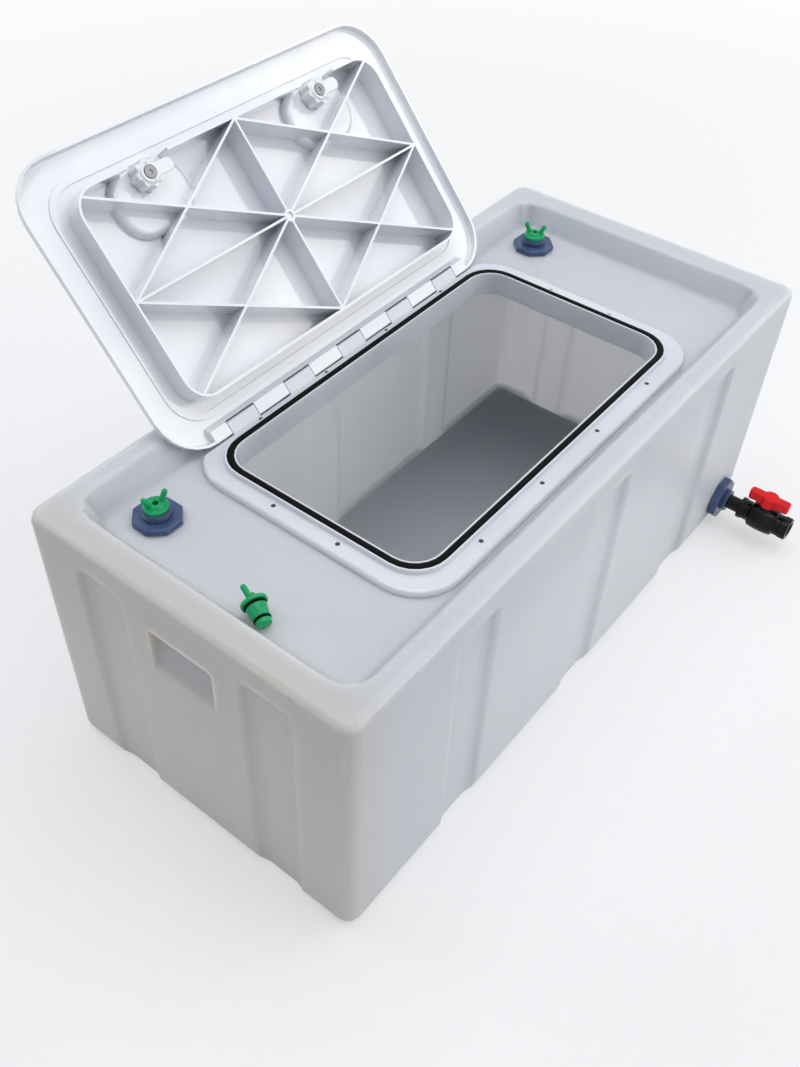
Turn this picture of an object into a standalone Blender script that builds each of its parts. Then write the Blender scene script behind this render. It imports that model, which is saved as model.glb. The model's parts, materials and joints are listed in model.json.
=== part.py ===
"""Live fish transport box: moulded tank, hinged hatch with twist latches, plugged ports, drain valve."""

import math

import bmesh
import bpy
from mathutils import Matrix, Vector

# Fits shared by all pieces
GAP = 0.0003
SLIDE_GAP = 0.001
EDGE_BREAK = 0.001

# Tank, a one-piece hollow moulding with a sunk deck
TANK_LENGTH = 0.950
TANK_WIDTH = 0.450
TANK_HEIGHT = 0.380
TANK_WALL = 0.005
TANK_CORNER = 0.018
TANK_TOP_ROUND = 0.010
TANK_BASE_ROUND = 0.014
RIM_SIDE_WIDTH = 0.0276
RIM_END_WIDTH = 0.038
RIM_EDGE_ROUND = 0.008
DECK_DEPTH = 0.030
DECK_WALL_RUN = 0.016
DECK_FOOT_ROUND = 0.008
DECK_CORNER = 0.020
LEAST_ROUND = 0.002

# Stiffening grooves down the four sides
GROOVE_WIDTH = 0.080
GROOVE_FLOOR = 0.042
GROOVE_DEPTH = 0.008
GROOVE_TOP_MARGIN = 0.028
GROOVE_FADE = 0.020
GROOVE_KNEE_DROP = 0.4
GROOVE_KNEE_DEPTH = 0.6
GROOVE_LIP = 0.002
GROOVE_SPREAD = 0.6
SIDE_GROOVE_PITCH = 0.268
END_GROOVE_PITCH = 0.234

# Hand grips, one wedge-shaped pocket in each end
GRIP_WIDTH = 0.091
GRIP_HEIGHT = 0.062
GRIP_DEPTH = 0.021
GRIP_TOP_MARGIN = 0.056
GRIP_BACK = 0.010
GRIP_ROUND = 0.0035

# Hatch frame, screwed on the deck
FRAME_END_MARGIN = 0.179
FRAME_SIDE_MARGIN = 0.050
FRAME_CORNER = 0.058
FRAME_THICKNESS = 0.0075
FRAME_EDGE_ROUND = 0.0035
SEAL_LINE_INSET = 0.028
SEAL_CORNER = 0.041
CHANNEL_HALF_WIDTH = 0.0041
CHANNEL_WALL = 0.002
CHANNEL_FOOT = 0.0006
CHANNEL_RISE = 0.0055
CHANNEL_FLOOR = FRAME_THICKNESS + 0.001
SEAL_PROUD = 0.0016
SEAL_CROWN = 0.0026
COLLAR_STEP = 0.001
COLLAR_WALL = 0.003
COLLAR_DEPTH = 0.019

# Countersunk screws that hold the frame
SCREW_SHANK_RADIUS = 0.0015
SCREW_HEAD_RADIUS = 0.0031
SCREW_HEAD_DEPTH = 0.0018
SCREW_LENGTH = 0.016
SCREW_SUNK = 0.0002
SCREW_EDGE_INSET = 0.0145
SCREW_HINGE_INSET = 0.0039
SCREW_END_SPAN = 0.092
LONG_SCREWS = 4
LONG_SCREW_MARGIN = 0.116

# Hinge between frame and lid
HINGE_ABOVE_FRAME = 0.0045
HINGE_BACK_SETBACK = 0.003
LID_BARREL_RADIUS = 0.0076
KNUCKLE_RADIUS = LID_BARREL_RADIUS - 0.0002
HINGE_CLEARANCE_RADIUS = LID_BARREL_RADIUS + 0.0020
ROD_RADIUS = 0.002
ROD_END_GAP = 0.0025
HINGE_FACE = 0.0042
HINGE_BLOCK_REACH = 0.0080
HINGE_BLOCK_SLOPE = 0.0070
HINGE_BLOCK_SPARE = 0.003
KNUCKLE_START = -60.0
KNUCKLE_ABOVE_DECK = 0.0008
KNUCKLE_LET_DOWN = 0.0005
WINDOWS = 5
WINDOW_WIDTH = 0.047
WINDOW_REACH = 0.0090
END_BAR = 0.0805
LID_OPEN_ANGLE = 131.0

# Lid
LID_END_OVERHANG = 0.007
LID_FRONT_OVERHANG = 0.006
LID_CORNER = FRAME_CORNER
LID_FLANGE = 0.003
LID_LIP = 0.0034
LID_LIP_GAP = 0.0005
LID_EDGE_ROUND = 0.0045
LID_LET_IN = 0.0003
LID_RIDGE_HEIGHT = 0.0017
LID_RIDGE_HALF_WIDTH = 0.0042
PANEL_RISE = 0.0039
PANEL_WALL_INSET = 0.0495
PANEL_SLOPE = 0.0035
PANEL_EDGE = 0.0025
PANEL_EDGE_DROP = 0.0006
RIB = 0.003
RIB_DEPTH = 0.0240
PANEL_CORNER = 0.029
HUB_RADIUS = 0.008
HUB_PROUD = 0.0004
HUB_BORE = 0.0045
HUB_BORE_DEPTH = 0.015

# Twist latches in the lid
LATCH_END_MARGIN = 0.158
LATCH_FRONT_INSET = 0.066
CUP_HALF_LENGTH = 0.0525
CUP_HALF_WIDTH = 0.040
CUP_CORNER = 0.036
CUP_SHIFT_X = 0.0025
CUP_SHIFT_Y = 0.022
CUP_WALL = 0.003
CUP_DEPTH = 0.011
CUP_FLOOR_ROUND = 0.003
LATCH_SHAFT_RADIUS = 0.005
LATCH_NUT_RADIUS = 0.0168
LATCH_NUT_LOBE = 0.0009
LATCH_NUT_LOBES = 8
CAM_REACH = 0.036
CAM_HALF_WIDTH = 0.008
CAM_THICKNESS = 0.005
CAM_UNDER_SKIN = 0.0005
CAM_ROOM = 0.002
CAM_ROOM_BELOW = 0.0015
DOORWAY_ROOM = 0.003
DOORWAY_NUT_ROOM = 0.007
LATCH_DISC_RADIUS = 0.0112
LATCH_DISC_HEIGHT = 0.0045
LATCH_GRIP_REACH = 0.032
LATCH_GRIP_TAIL = 0.0105
LATCH_GRIP_WIDTH = 0.013
LATCH_SCREW_HEAD_RADIUS = 0.0069
LATCH_SCREW_HEAD_HEIGHT = 0.0018
LATCH_SCREW_SHANK_RADIUS = 0.0019
LATCH_SCREW_SHANK_LENGTH = 0.009
LATCH_RING_GAP = 0.0005
LATCH_RING_SECTION = 0.0011
LATCH_RING_ROOM = 0.0006
LATCH_DISC_CHAMFER = 0.0008
LATCH_NUT_TAPER = 0.93
LATCH_NUT_CHAMFER = 0.0015
FACE_GROOVE_INNER = 0.0095
FACE_GROOVE_OUTER = 0.0120
FACE_GROOVE_DEPTH = 0.0012
SLIT_HALF_WIDTH = 0.0009

# Threaded ports in the deck and their green plugs
PORT_END_INSET = 0.103
PORT_SIDE_INSET = 0.092
PORT_WALL = 0.0027
PORT_FLANGE_REACH = 0.009
PORT_FLANGE = 0.004
PORT_RISE = 0.017
PORT_TAIL = 0.018
PORT_RING_GAP = 0.0006
PORT_BORE_STEP = 0.0033
PORT_SEAT_SPARE = 0.001
PORT_TAIL_STEP = 0.002
PORT_MOUTH = 0.006
PORT_NUT_FLATS = 0.054
PORT_NUT_HEIGHT = 0.008
GASKET = 0.002
NUT_SIDES = 8
NUT_CHAMFER = 0.0015

PLUG_FLANGE_REACH = 0.003
PLUG_FLANGE = 0.004
PLUG_CROWN = 0.003
PLUG_CROWN_FOOT = 0.0098
PLUG_CROWN_TOP = 0.0085
PLUG_TOP_RADIUS = 0.0115
PLUG_TAPER = 0.0035
PLUG_LENGTH = 0.025
PLUG_GROOVE_DEPTH = 0.0016
PLUG_GROOVE_WIDTH = 0.0030
PLUG_FOOT_LENGTH = 0.005
PLUG_BORE = 0.0035
PLUG_BORE_DEPTH = 0.012
WING_RADIUS = 0.0033
WING_LENGTH = 0.0175
WING_TIP = 0.002
WING_ROOT = 0.0065
WING_LEAN = 26.0
PLUG_TURNS = (-14.0, -73.0)
RING_SECTION = 0.00125
LOOSE_PLUG_END_INSET = 0.071
LOOSE_PLUG_Y = -0.042
LOOSE_PLUG_TURN = 66.7
LOOSE_PLUG_TWIST = 65.0

# Drain fitting and ball valve at the foot of the front side
DRAIN_END_INSET = 0.065
DRAIN_HEIGHT = 0.042
DRAIN_WALL = 0.0052
DRAIN_FLANGE_REACH = 0.0085
DRAIN_FLANGE = 0.004
DRAIN_NUT_FLATS = 0.060
DRAIN_NUT_LENGTH = 0.012
DRAIN_COLLAR = 0.008
PIPE_RADIUS = 0.011
PIPE_BORE = 0.008
PIPE_SOCKET = 0.012
PIPE_SHOWN = 0.019
VALVE_SOCKET_WALL = 0.0052
VALVE_SOCKET_LENGTH = 0.018
VALVE_BODY_RADIUS = 0.0215
VALVE_BODY_HALF = 0.020
VALVE_OUTLET_LENGTH = 0.008
VALVE_PIPE_STOP = 0.002
VALVE_CHAMFER = 0.0015
VALVE_LIP = 0.006
VALVE_NECK = 0.0012
WAIST_STEP = 0.001
WAIST_FULLNESS = 0.6
VALVE_UNION_LENGTH = 0.013
BALL_RADIUS = 0.014
BALL_BORE = 0.0075
SEAT_LEDGE = 0.001
SEAT_DEPTH = 0.0070
CHAMBER_GAP = 0.001
STEM_RADIUS = 0.0045
STEM_COLLAR_RADIUS = 0.0065
STEM_COLLAR = 0.003
STEM_RING_SECTION = 0.0007
BOSS_RADIUS = 0.0095
BOSS_RISE = 0.026
TANG_LENGTH = 0.011
TANG_WIDTH = 0.0034
TANG_DEPTH = 0.003
HANDLE_LENGTH = 0.062
HANDLE_HEIGHT = 0.011
HANDLE_WIDTH = 0.0105
HANDLE_HUB_RADIUS = 0.0125
HANDLE_HUB_HEIGHT = 0.016
HANDLE_ROUND = 0.0015
STEM_COVER = 0.003

# Facets, finer where they show and coarser inside
CORNER_STEPS = 6
TANK_CORNER_STEPS = 3
HOLLOW_CORNER_STEPS = 2
CUP_CORNER_STEPS = 3
GROOVE_STEPS = 2
HOLLOW_GROOVE_STEPS = 1
EDGE_STEPS = 2
HOLLOW_EDGE_STEPS = 1
ROUND_STEPS = 20
INNER_STEPS = 16
SMALL_STEPS = 12
PIN_STEPS = 8
SCREW_STEPS = 6
RING_SECTION_STEPS = 4
LOBE_STEPS = 4
KNUCKLE_STEPS = 6
SEAL_CROWN_STEPS = 4
ARM_STEPS = 6
WAIST_STEPS = 5
SEAT_STEPS = 2
BALL_STEPS = 3
SHARP_ANGLE = 40.0

# How far cutters run past the faces they cut, and how deep joined pieces are let in
PAST = 0.004
OVERCUT = 0.001
LET_IN = 0.0015
SKIM = 0.0005
TINY = 0.0001
LEG = 0.02

# Places worked out from the sizes above
HALF_LENGTH = TANK_LENGTH / 2
HALF_WIDTH = TANK_WIDTH / 2
DECK = TANK_HEIGHT - DECK_DEPTH
SKIN_UNDERSIDE = DECK - TANK_WALL
FRAME_HALF_X = HALF_LENGTH - FRAME_END_MARGIN
FRAME_HALF_Y = HALF_WIDTH - FRAME_SIDE_MARGIN
SEAL_HALF_X = FRAME_HALF_X - SEAL_LINE_INSET
SEAL_HALF_Y = FRAME_HALF_Y - SEAL_LINE_INSET
COLLAR_INNER = CHANNEL_HALF_WIDTH + CHANNEL_WALL + COLLAR_STEP
COLLAR_OUTER = COLLAR_INNER - COLLAR_WALL
HINGE_RISE = FRAME_THICKNESS + HINGE_ABOVE_FRAME
HINGE_Y = FRAME_HALF_Y - HINGE_BACK_SETBACK
HINGE_Z = DECK + HINGE_RISE
CHANNEL_TOP = FRAME_THICKNESS + CHANNEL_RISE
SEAL_TOP = CHANNEL_TOP + SEAL_PROUD
LID_HALF_X = FRAME_HALF_X + LID_END_OVERHANG
LID_FRONT_Y = -FRAME_HALF_Y - LID_FRONT_OVERHANG
LID_BACK_Y = HINGE_Y + LID_BARREL_RADIUS
LID_HALF_Y = (LID_BACK_Y - LID_FRONT_Y) / 2
LID_MIDDLE_Y = (LID_BACK_Y + LID_FRONT_Y) / 2
LID_TOP = HINGE_RISE + LID_BARREL_RADIUS
LID_INNER = LID_TOP - LID_FLANGE
PANEL_TOP = LID_TOP + PANEL_RISE
PANEL_INNER = PANEL_TOP - LID_FLANGE
RIB_FOOT = HINGE_RISE - RIB_DEPTH
PANEL_HALF_X = LID_HALF_X - PANEL_WALL_INSET - RIB
PANEL_HALF_Y = SEAL_HALF_Y - (SEAL_HALF_X - PANEL_HALF_X) - 0.0015
WINDOW_PITCH = 2 * (LID_HALF_X - END_BAR - WINDOW_WIDTH / 2) / (WINDOWS - 1)
WINDOW_CENTRES = [(i - (WINDOWS - 1) / 2) * WINDOW_PITCH for i in range(WINDOWS)]
BARREL_HALF = LID_HALF_X - LID_CORNER + HINGE_BLOCK_SPARE
LATCH_X = LID_HALF_X - LATCH_END_MARGIN
LATCH_Y = LID_FRONT_Y + LATCH_FRONT_INSET
CUP_INNER = PANEL_INNER - CUP_DEPTH
CUP_FLOOR = CUP_INNER + CUP_WALL
CAM_TOP = -TANK_WALL - CAM_UNDER_SKIN
CAM_FOOT = CAM_TOP - CAM_THICKNESS
LATCH_RING_RADIUS = LATCH_SHAFT_RADIUS + LATCH_RING_GAP + LATCH_RING_SECTION
PLUG_FLANGE_RADIUS = PLUG_TOP_RADIUS + PLUG_FLANGE_REACH
PLUG_FOOT_RADIUS = PLUG_TOP_RADIUS - PLUG_TAPER
PLUG_RING_OUTER = PLUG_TOP_RADIUS - PLUG_GROOVE_DEPTH + GAP + 2 * RING_SECTION
PORT_BORE_TOP = PLUG_RING_OUTER + PORT_RING_GAP
PORT_BORE_FOOT = PORT_BORE_TOP - PORT_BORE_STEP
PORT_RADIUS = PORT_BORE_TOP + PORT_WALL
PORT_FLANGE_RADIUS = PORT_RADIUS + PORT_FLANGE_REACH
DRAIN_BORE = PIPE_RADIUS + GAP
DRAIN_RADIUS = DRAIN_BORE + DRAIN_WALL
DRAIN_FLANGE_RADIUS = DRAIN_RADIUS + DRAIN_FLANGE_REACH
VALVE_SOCKET_RADIUS = PIPE_RADIUS + GAP + VALVE_SOCKET_WALL
CHAMBER_RADIUS = BALL_RADIUS + CHAMBER_GAP
SEAT_BORE = BALL_BORE + SEAT_LEDGE
SEAT_BACK = BALL_RADIUS + CHAMBER_GAP / 2
SEAT_FACE = SEAT_BACK - SEAT_DEPTH
DRAIN_X = HALF_LENGTH - DRAIN_END_INSET
VALVE_CENTRE = (DRAIN_NUT_LENGTH + DRAIN_COLLAR + PIPE_SHOWN + VALVE_SOCKET_LENGTH + VALVE_BODY_HALF)

MATERIALS = {}


# Materials and plain mesh helpers

def material(name, colour, roughness, metallic=0.0):
    """One plain surface per sub-part, reused by name."""
    if name not in MATERIALS:
        made = bpy.data.materials.new(name)
        made.use_nodes = True
        shader = made.node_tree.nodes["Principled BSDF"]
        shader.inputs["Base Color"].default_value = (*colour, 1.0)
        shader.inputs["Roughness"].default_value = roughness
        shader.inputs["Metallic"].default_value = metallic
        MATERIALS[name] = made
    return MATERIALS[name]


def mesh_object(name, points, faces):
    """A mesh object with its faces turned outward."""
    mesh = bpy.data.meshes.new(name)
    mesh.from_pydata([tuple(p) for p in points], [], faces)
    work = bmesh.new()
    work.from_mesh(mesh)
    bmesh.ops.recalc_face_normals(work, faces=work.faces)
    work.to_mesh(mesh)
    work.free()
    made = bpy.data.objects.new(name, mesh)
    bpy.context.scene.collection.objects.link(made)
    return made


def skin(name, loops, ring=False):
    """A solid through equal loops of points; a ring closes on its first loop, others get end caps."""
    count = len(loops[0])
    points = [p for loop in loops for p in loop]
    pairs = len(loops) if ring else len(loops) - 1
    faces = []
    for row in range(pairs):
        here = row * count
        there = ((row + 1) % len(loops)) * count
        for i in range(count):
            j = (i + 1) % count
            faces.append((here + i, here + j, there + j, there + i))
    if not ring:
        faces.append(tuple(range(count)))
        faces.append(tuple(range(len(points) - count, len(points))))
    return mesh_object(name, points, faces)


def turned(name, profile, steps):
    """A solid turned round Z from (radius, height) points; a profile off the axis closes on itself."""
    points = []
    rows = []
    for radius, height in profile:
        if radius == 0.0:
            rows.append([len(points)] * steps)
            points.append((0.0, 0.0, height))
            continue
        rows.append([len(points) + i for i in range(steps)])
        for i in range(steps):
            angle = 2 * math.pi * (i + 0.5) / steps
            points.append((radius * math.cos(angle), radius * math.sin(angle), height))
    open_profile = profile[0][0] == 0.0
    pairs = len(rows) - 1 if open_profile else len(rows)
    faces = []
    for row in range(pairs):
        here = rows[row]
        there = rows[(row + 1) % len(rows)]
        for i in range(steps):
            j = (i + 1) % steps
            corners = [here[i], here[j], there[j], there[i]]
            faces.append(tuple(dict.fromkeys(corners)))
    return mesh_object(name, points, faces)


def prism(name, outline, low, high):
    """A plan outline drawn up from low to high."""
    return skin(name, [[(x, y, low) for x, y in outline], [(x, y, high) for x, y in outline]])


def block(name, low, high):
    """A plain box between two opposite corners."""
    outline = [(low[0], low[1]), (high[0], low[1]), (high[0], high[1]), (low[0], high[1])]
    return prism(name, outline, low[2], high[2])


def shifted(thing, x=0.0, y=0.0, z=0.0):
    """Moves the mesh itself, so the object stays at the origin."""
    thing.data.transform(Matrix.Translation((x, y, z)))
    return thing


def baked(thing):
    """Puts the result of the modifiers into the mesh."""
    graph = bpy.context.evaluated_depsgraph_get()
    graph.update()
    result = bpy.data.meshes.new_from_object(thing.evaluated_get(graph))
    thing.modifiers.clear()
    thing.data = result
    return thing


def combined(thing, others, operation):
    """Cuts or joins other solids, one after the other, and removes them."""
    for other in others:
        step = thing.modifiers.new("fit", "BOOLEAN")
        step.operation = operation
        step.solver = "EXACT"
        step.object = other
        baked(thing)
        bpy.data.objects.remove(other)
    return thing


def cut(thing, *others):
    return combined(thing, others, "DIFFERENCE")


def join(thing, *others):
    return combined(thing, others, "UNION")


def softened(thing, width, segments=2):
    """Rounds the sharp edges of a cutter or a grip."""
    step = thing.modifiers.new("round", "BEVEL")
    step.width = width
    step.segments = segments
    step.limit_method = "ANGLE"
    return baked(thing)


# Outline helpers

def rounded_loop(half_x, half_y, corner, z, middle_y=0.0, steps=CORNER_STEPS):
    """A rounded rectangle in plan, always with the same number of points."""
    corner = max(min(corner, half_x - TINY, half_y - TINY), 2 * TINY)
    points = []
    for quarter, (sx, sy) in enumerate(((1, 1), (-1, 1), (-1, -1), (1, -1))):
        for i in range(steps + 1):
            angle = math.pi / 2 * (quarter + i / steps)
            x = sx * (half_x - corner) + corner * math.cos(angle)
            y = sy * (half_y - corner) + corner * math.sin(angle)
            points.append((x, y + middle_y, z))
    return points


def rounded_outline(half_x, half_y, corner, middle_y=0.0, steps=CORNER_STEPS):
    return [(x, y) for x, y, _ in rounded_loop(half_x, half_y, corner, 0.0, middle_y, steps)]


def filleted(corners, radii, steps=EDGE_STEPS):
    """A 2-D line whose inner corners are replaced by arcs of the given radii."""
    result = [Vector(corners[0])]
    for before, here, after, radius in zip(corners, corners[1:], corners[2:], radii):
        here = Vector(here)
        back = (Vector(before) - here).normalized()
        ahead = (Vector(after) - here).normalized()
        half = back.angle(ahead) / 2
        reach = radius / math.tan(half)
        centre = here + (back + ahead).normalized() * radius / math.sin(half)
        start = here + back * reach - centre
        end = here + ahead * reach - centre
        sweep = start.angle_signed(end)
        for i in range(steps + 1):
            turn = Matrix.Rotation(-sweep * i / steps, 2)
            result.append(centre + turn @ start)
    result.append(Vector(corners[-1]))
    return result


def octagon(flats):
    radius = flats / 2 / math.cos(math.pi / NUT_SIDES)
    angles = [2 * math.pi * (i + 0.5) / NUT_SIDES for i in range(NUT_SIDES)]
    return [(radius * math.cos(a), radius * math.sin(a)) for a in angles]


def cylinder(name, radius, low, high, steps=SMALL_STEPS):
    return turned(name, [(0.0, low), (radius, low), (radius, high), (0.0, high)], steps)


def ring_seal(name, radius, section, height, steps=INNER_STEPS):
    """A round rubber ring about Z."""
    profile = []
    for i in range(RING_SECTION_STEPS):
        angle = 2 * math.pi * i / RING_SECTION_STEPS
        profile.append((radius + section * math.cos(angle), height + section * math.sin(angle)))
    return turned(name, profile, steps)


# Placing finished pieces

def finish(thing, name, surface, place=None, pivot=None):
    """Names a piece, gives it its surface and puts its origin at the pivot of what it moves with."""
    thing.name = name
    thing.data.name = name
    thing.data.materials.clear()
    thing.data.materials.append(surface)
    thing.data.shade_smooth()
    thing.data.set_sharp_from_angle(angle=math.radians(SHARP_ANGLE))
    place = place or Matrix.Identity(4)
    thing.data.transform(place)
    if pivot is not None:
        thing.data.transform(Matrix.Translation(-pivot))
        thing.location = pivot
    return thing


def open_turn():
    """Turns a piece of the closed lid about the hinge to where the open lid rests."""
    pivot = Matrix.Translation((0.0, HINGE_Y, HINGE_Z))
    return pivot @ Matrix.Rotation(math.radians(-LID_OPEN_ANGLE), 4, "X") @ pivot.inverted()


# Tank

def recess_rows(grow, steps):
    """Half sizes, corner and height of the sunk deck from the rim down, or the same one wall thicker."""
    lean = DECK_WALL_RUN / DECK_DEPTH
    side = grow * math.sqrt(1 + lean * lean)
    top = TANK_HEIGHT - grow
    low = DECK - grow
    start = lean * grow - side
    end = lean * (DECK_DEPTH + grow) - side
    if grow == 0.0:
        start = 0.0
        end = DECK_WALL_RUN
    ahead = [(start - LEG, top), (start, top), (end, low), (end + LEG, low)]
    line = filleted(ahead, (max(RIM_EDGE_ROUND - grow, LEAST_ROUND), DECK_FOOT_ROUND + grow), steps)[1:-1]
    rows = []
    for run, z in line:
        half_x = HALF_LENGTH - RIM_END_WIDTH - run
        half_y = HALF_WIDTH - RIM_SIDE_WIDTH - run
        rows.append((half_x, half_y, DECK_CORNER + DECK_WALL_RUN - run, z))
    return rows


def hull(name, inset, edge_steps, corner_steps):
    """The tank's outside, or its hollow when inset by the wall, with the deck sunk into the top."""
    rows = []
    foot = TANK_BASE_ROUND - inset
    head = TANK_TOP_ROUND - inset
    turns = [math.pi / 2 * i / edge_steps for i in range(edge_steps + 1)]
    for turn in turns:
        rows.append((inset + foot * (1 - math.sin(turn)), inset + foot * (1 - math.cos(turn))))
    for turn in turns:
        rows.append((inset + head * (1 - math.cos(turn)),
                     TANK_HEIGHT - inset - head * (1 - math.sin(turn))))
    loops = []
    for edge, z in rows:
        loops.append(rounded_loop(HALF_LENGTH - edge, HALF_WIDTH - edge, TANK_CORNER - edge, z,
                                  steps=corner_steps))
    for row in recess_rows(inset, edge_steps):
        loops.append(rounded_loop(*row, steps=corner_steps))
    return skin(name, loops)


def groove(spot, face, grow):
    """A soft groove from below the base up to where it fades out; face is (along x?, sign)."""
    along_x, sign = face
    outside = -2 * PAST
    start = -GROOVE_LIP
    half_floor = GROOVE_FLOOR / 2 + grow * GROOVE_SPREAD
    half_mouth = GROOVE_WIDTH / 2 + grow * GROOVE_SPREAD
    top = TANK_HEIGHT - GROOVE_TOP_MARGIN + grow
    knee = top - GROOVE_FADE * GROOVE_KNEE_DROP
    heights = [(-2 * PAST, 1.0), (top - GROOVE_FADE, 1.0), (knee, GROOVE_KNEE_DEPTH), (top, 0.0)]
    steps = HOLLOW_GROOVE_STEPS if grow else GROOVE_STEPS
    loops = []
    for z, share in heights:
        floor = start + (GROOVE_DEPTH - start) * share
        flank = []
        for i in range(steps + 1):
            run = i / steps
            flank.append((-half_mouth + (half_mouth - half_floor) * run,
                          start + (floor - start) * math.sin(math.pi / 2 * run)))
        outline = [(-half_mouth, outside)] + flank
        outline += [(-u, w) for u, w in reversed(flank)] + [(half_mouth, outside)]
        loop = []
        for u, w in outline:
            if along_x:
                loop.append((spot + u, sign * (HALF_WIDTH - w - grow), z))
            else:
                loop.append((sign * (HALF_LENGTH - w - grow), spot + u, z))
        loops.append(loop)
    return skin("groove", loops)


def grip_pocket(sign, grow):
    """The wedge cut for the fingers: deep under its upper ledge, running out flush below."""
    top = TANK_HEIGHT - GRIP_TOP_MARGIN + grow
    low = top - GRIP_HEIGHT - 2 * grow
    out = LEG
    slope = GRIP_DEPTH / (GRIP_HEIGHT - GRIP_BACK)
    section = [(-out, low - out / slope), (-out, top), (GRIP_DEPTH + grow, top),
               (GRIP_DEPTH + grow, top - GRIP_BACK)]
    half = GRIP_WIDTH / 2 + grow
    loops = []
    for side in (-1, 1):
        loops.append([(sign * (HALF_LENGTH - depth), side * half, z) for depth, z in section])
    return softened(skin("grip", loops), GRIP_ROUND, 1 if grow else 2)


def screw_places():
    """Plan places of the frame screws: along the front, along the hinge side and on both ends."""
    span = 2 * (FRAME_HALF_X - LONG_SCREW_MARGIN)
    front_y = -FRAME_HALF_Y + SCREW_EDGE_INSET
    hinge_y = HINGE_Y - HINGE_CLEARANCE_RADIUS - SCREW_HINGE_INSET
    places = []
    for i in range(LONG_SCREWS):
        x = span * (i / (LONG_SCREWS - 1) - 0.5)
        places.append((x, front_y))
        places.append((x, hinge_y))
    for side in (-1, 1):
        for half in (-1, 1):
            places.append((side * (FRAME_HALF_X - SCREW_EDGE_INSET), half * SCREW_END_SPAN / 2))
    return places


def port_places():
    return [(side * (HALF_LENGTH - PORT_END_INSET), HALF_WIDTH - PORT_SIDE_INSET) for side in (-1, 1)]


def make_tank():
    hollow = hull("hollow", TANK_WALL, HOLLOW_EDGE_STEPS, HOLLOW_CORNER_STEPS)
    body = hull("tank", 0.0, EDGE_STEPS, TANK_CORNER_STEPS)
    for solid, grow in ((body, 0.0), (hollow, TANK_WALL)):
        for sign in (-1, 1):
            for step in (-1, 0, 1):
                cut(solid, groove(step * SIDE_GROOVE_PITCH, (True, sign), grow))
            for step in (-0.5, 0.5):
                cut(solid, groove(step * END_GROOVE_PITCH, (False, sign), grow))
            cut(solid, grip_pocket(sign, grow))
    cut(body, hollow)
    opening = rounded_outline(SEAL_HALF_X - COLLAR_OUTER + SLIDE_GAP, SEAL_HALF_Y - COLLAR_OUTER + SLIDE_GAP,
                              SEAL_CORNER - COLLAR_OUTER + SLIDE_GAP)
    cut(body, prism("opening", opening, SKIN_UNDERSIDE - PAST, DECK + PAST))
    for x, y in port_places():
        hole = cylinder("hole", PORT_RADIUS + GAP, SKIN_UNDERSIDE - PAST, DECK + PAST, ROUND_STEPS)
        cut(body, shifted(hole, x, y))
    for x, y in screw_places():
        hole = cylinder("hole", SCREW_SHANK_RADIUS + GAP, SKIN_UNDERSIDE - PAST, DECK + PAST,
                        SCREW_STEPS)
        cut(body, shifted(hole, x, y))
    drain = cylinder("hole", DRAIN_RADIUS + GAP, -PAST, TANK_WALL + PAST, ROUND_STEPS)
    drain.data.transform(drain_turn(-TANK_WALL))
    cut(body, drain)
    return finish(body, "tank", material("tank_plastic", (0.80, 0.83, 0.86), 0.45))


# Hatch frame, seal and screws

def frame_row(offset, height):
    """One loop of the frame, offset outward from the middle line of the seal."""
    share = (FRAME_CORNER - SEAL_CORNER) / SEAL_LINE_INSET if offset > 0 else 1.0
    return rounded_loop(SEAL_HALF_X + offset, SEAL_HALF_Y + offset, SEAL_CORNER + share * offset,
                        DECK + height)


def knuckle_section(root):
    """A knuckle from the side: round behind the rod, with a flat face in the plane of the open lid's."""
    facing = math.radians(270.0 - LID_OPEN_ANGLE)
    start = math.radians(KNUCKLE_START)
    sweep = facing - math.acos(HINGE_FACE / KNUCKLE_RADIUS) - start
    top = DECK + FRAME_THICKNESS - KNUCKLE_LET_DOWN
    foot = DECK + KNUCKLE_ABOVE_DECK
    outline = [(root, foot), (HINGE_Y, foot)]
    for i in range(KNUCKLE_STEPS + 1):
        angle = start + sweep * i / KNUCKLE_STEPS
        outline.append((HINGE_Y + KNUCKLE_RADIUS * math.cos(angle),
                        HINGE_Z + KNUCKLE_RADIUS * math.sin(angle)))
    drop = HINGE_Z + HINGE_FACE * math.sin(facing) - top
    flat_end = HINGE_Y + HINGE_FACE * math.cos(facing) - drop / math.tan(facing - math.pi / 2)
    return outline + [(flat_end, top), (root, top)]


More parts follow.
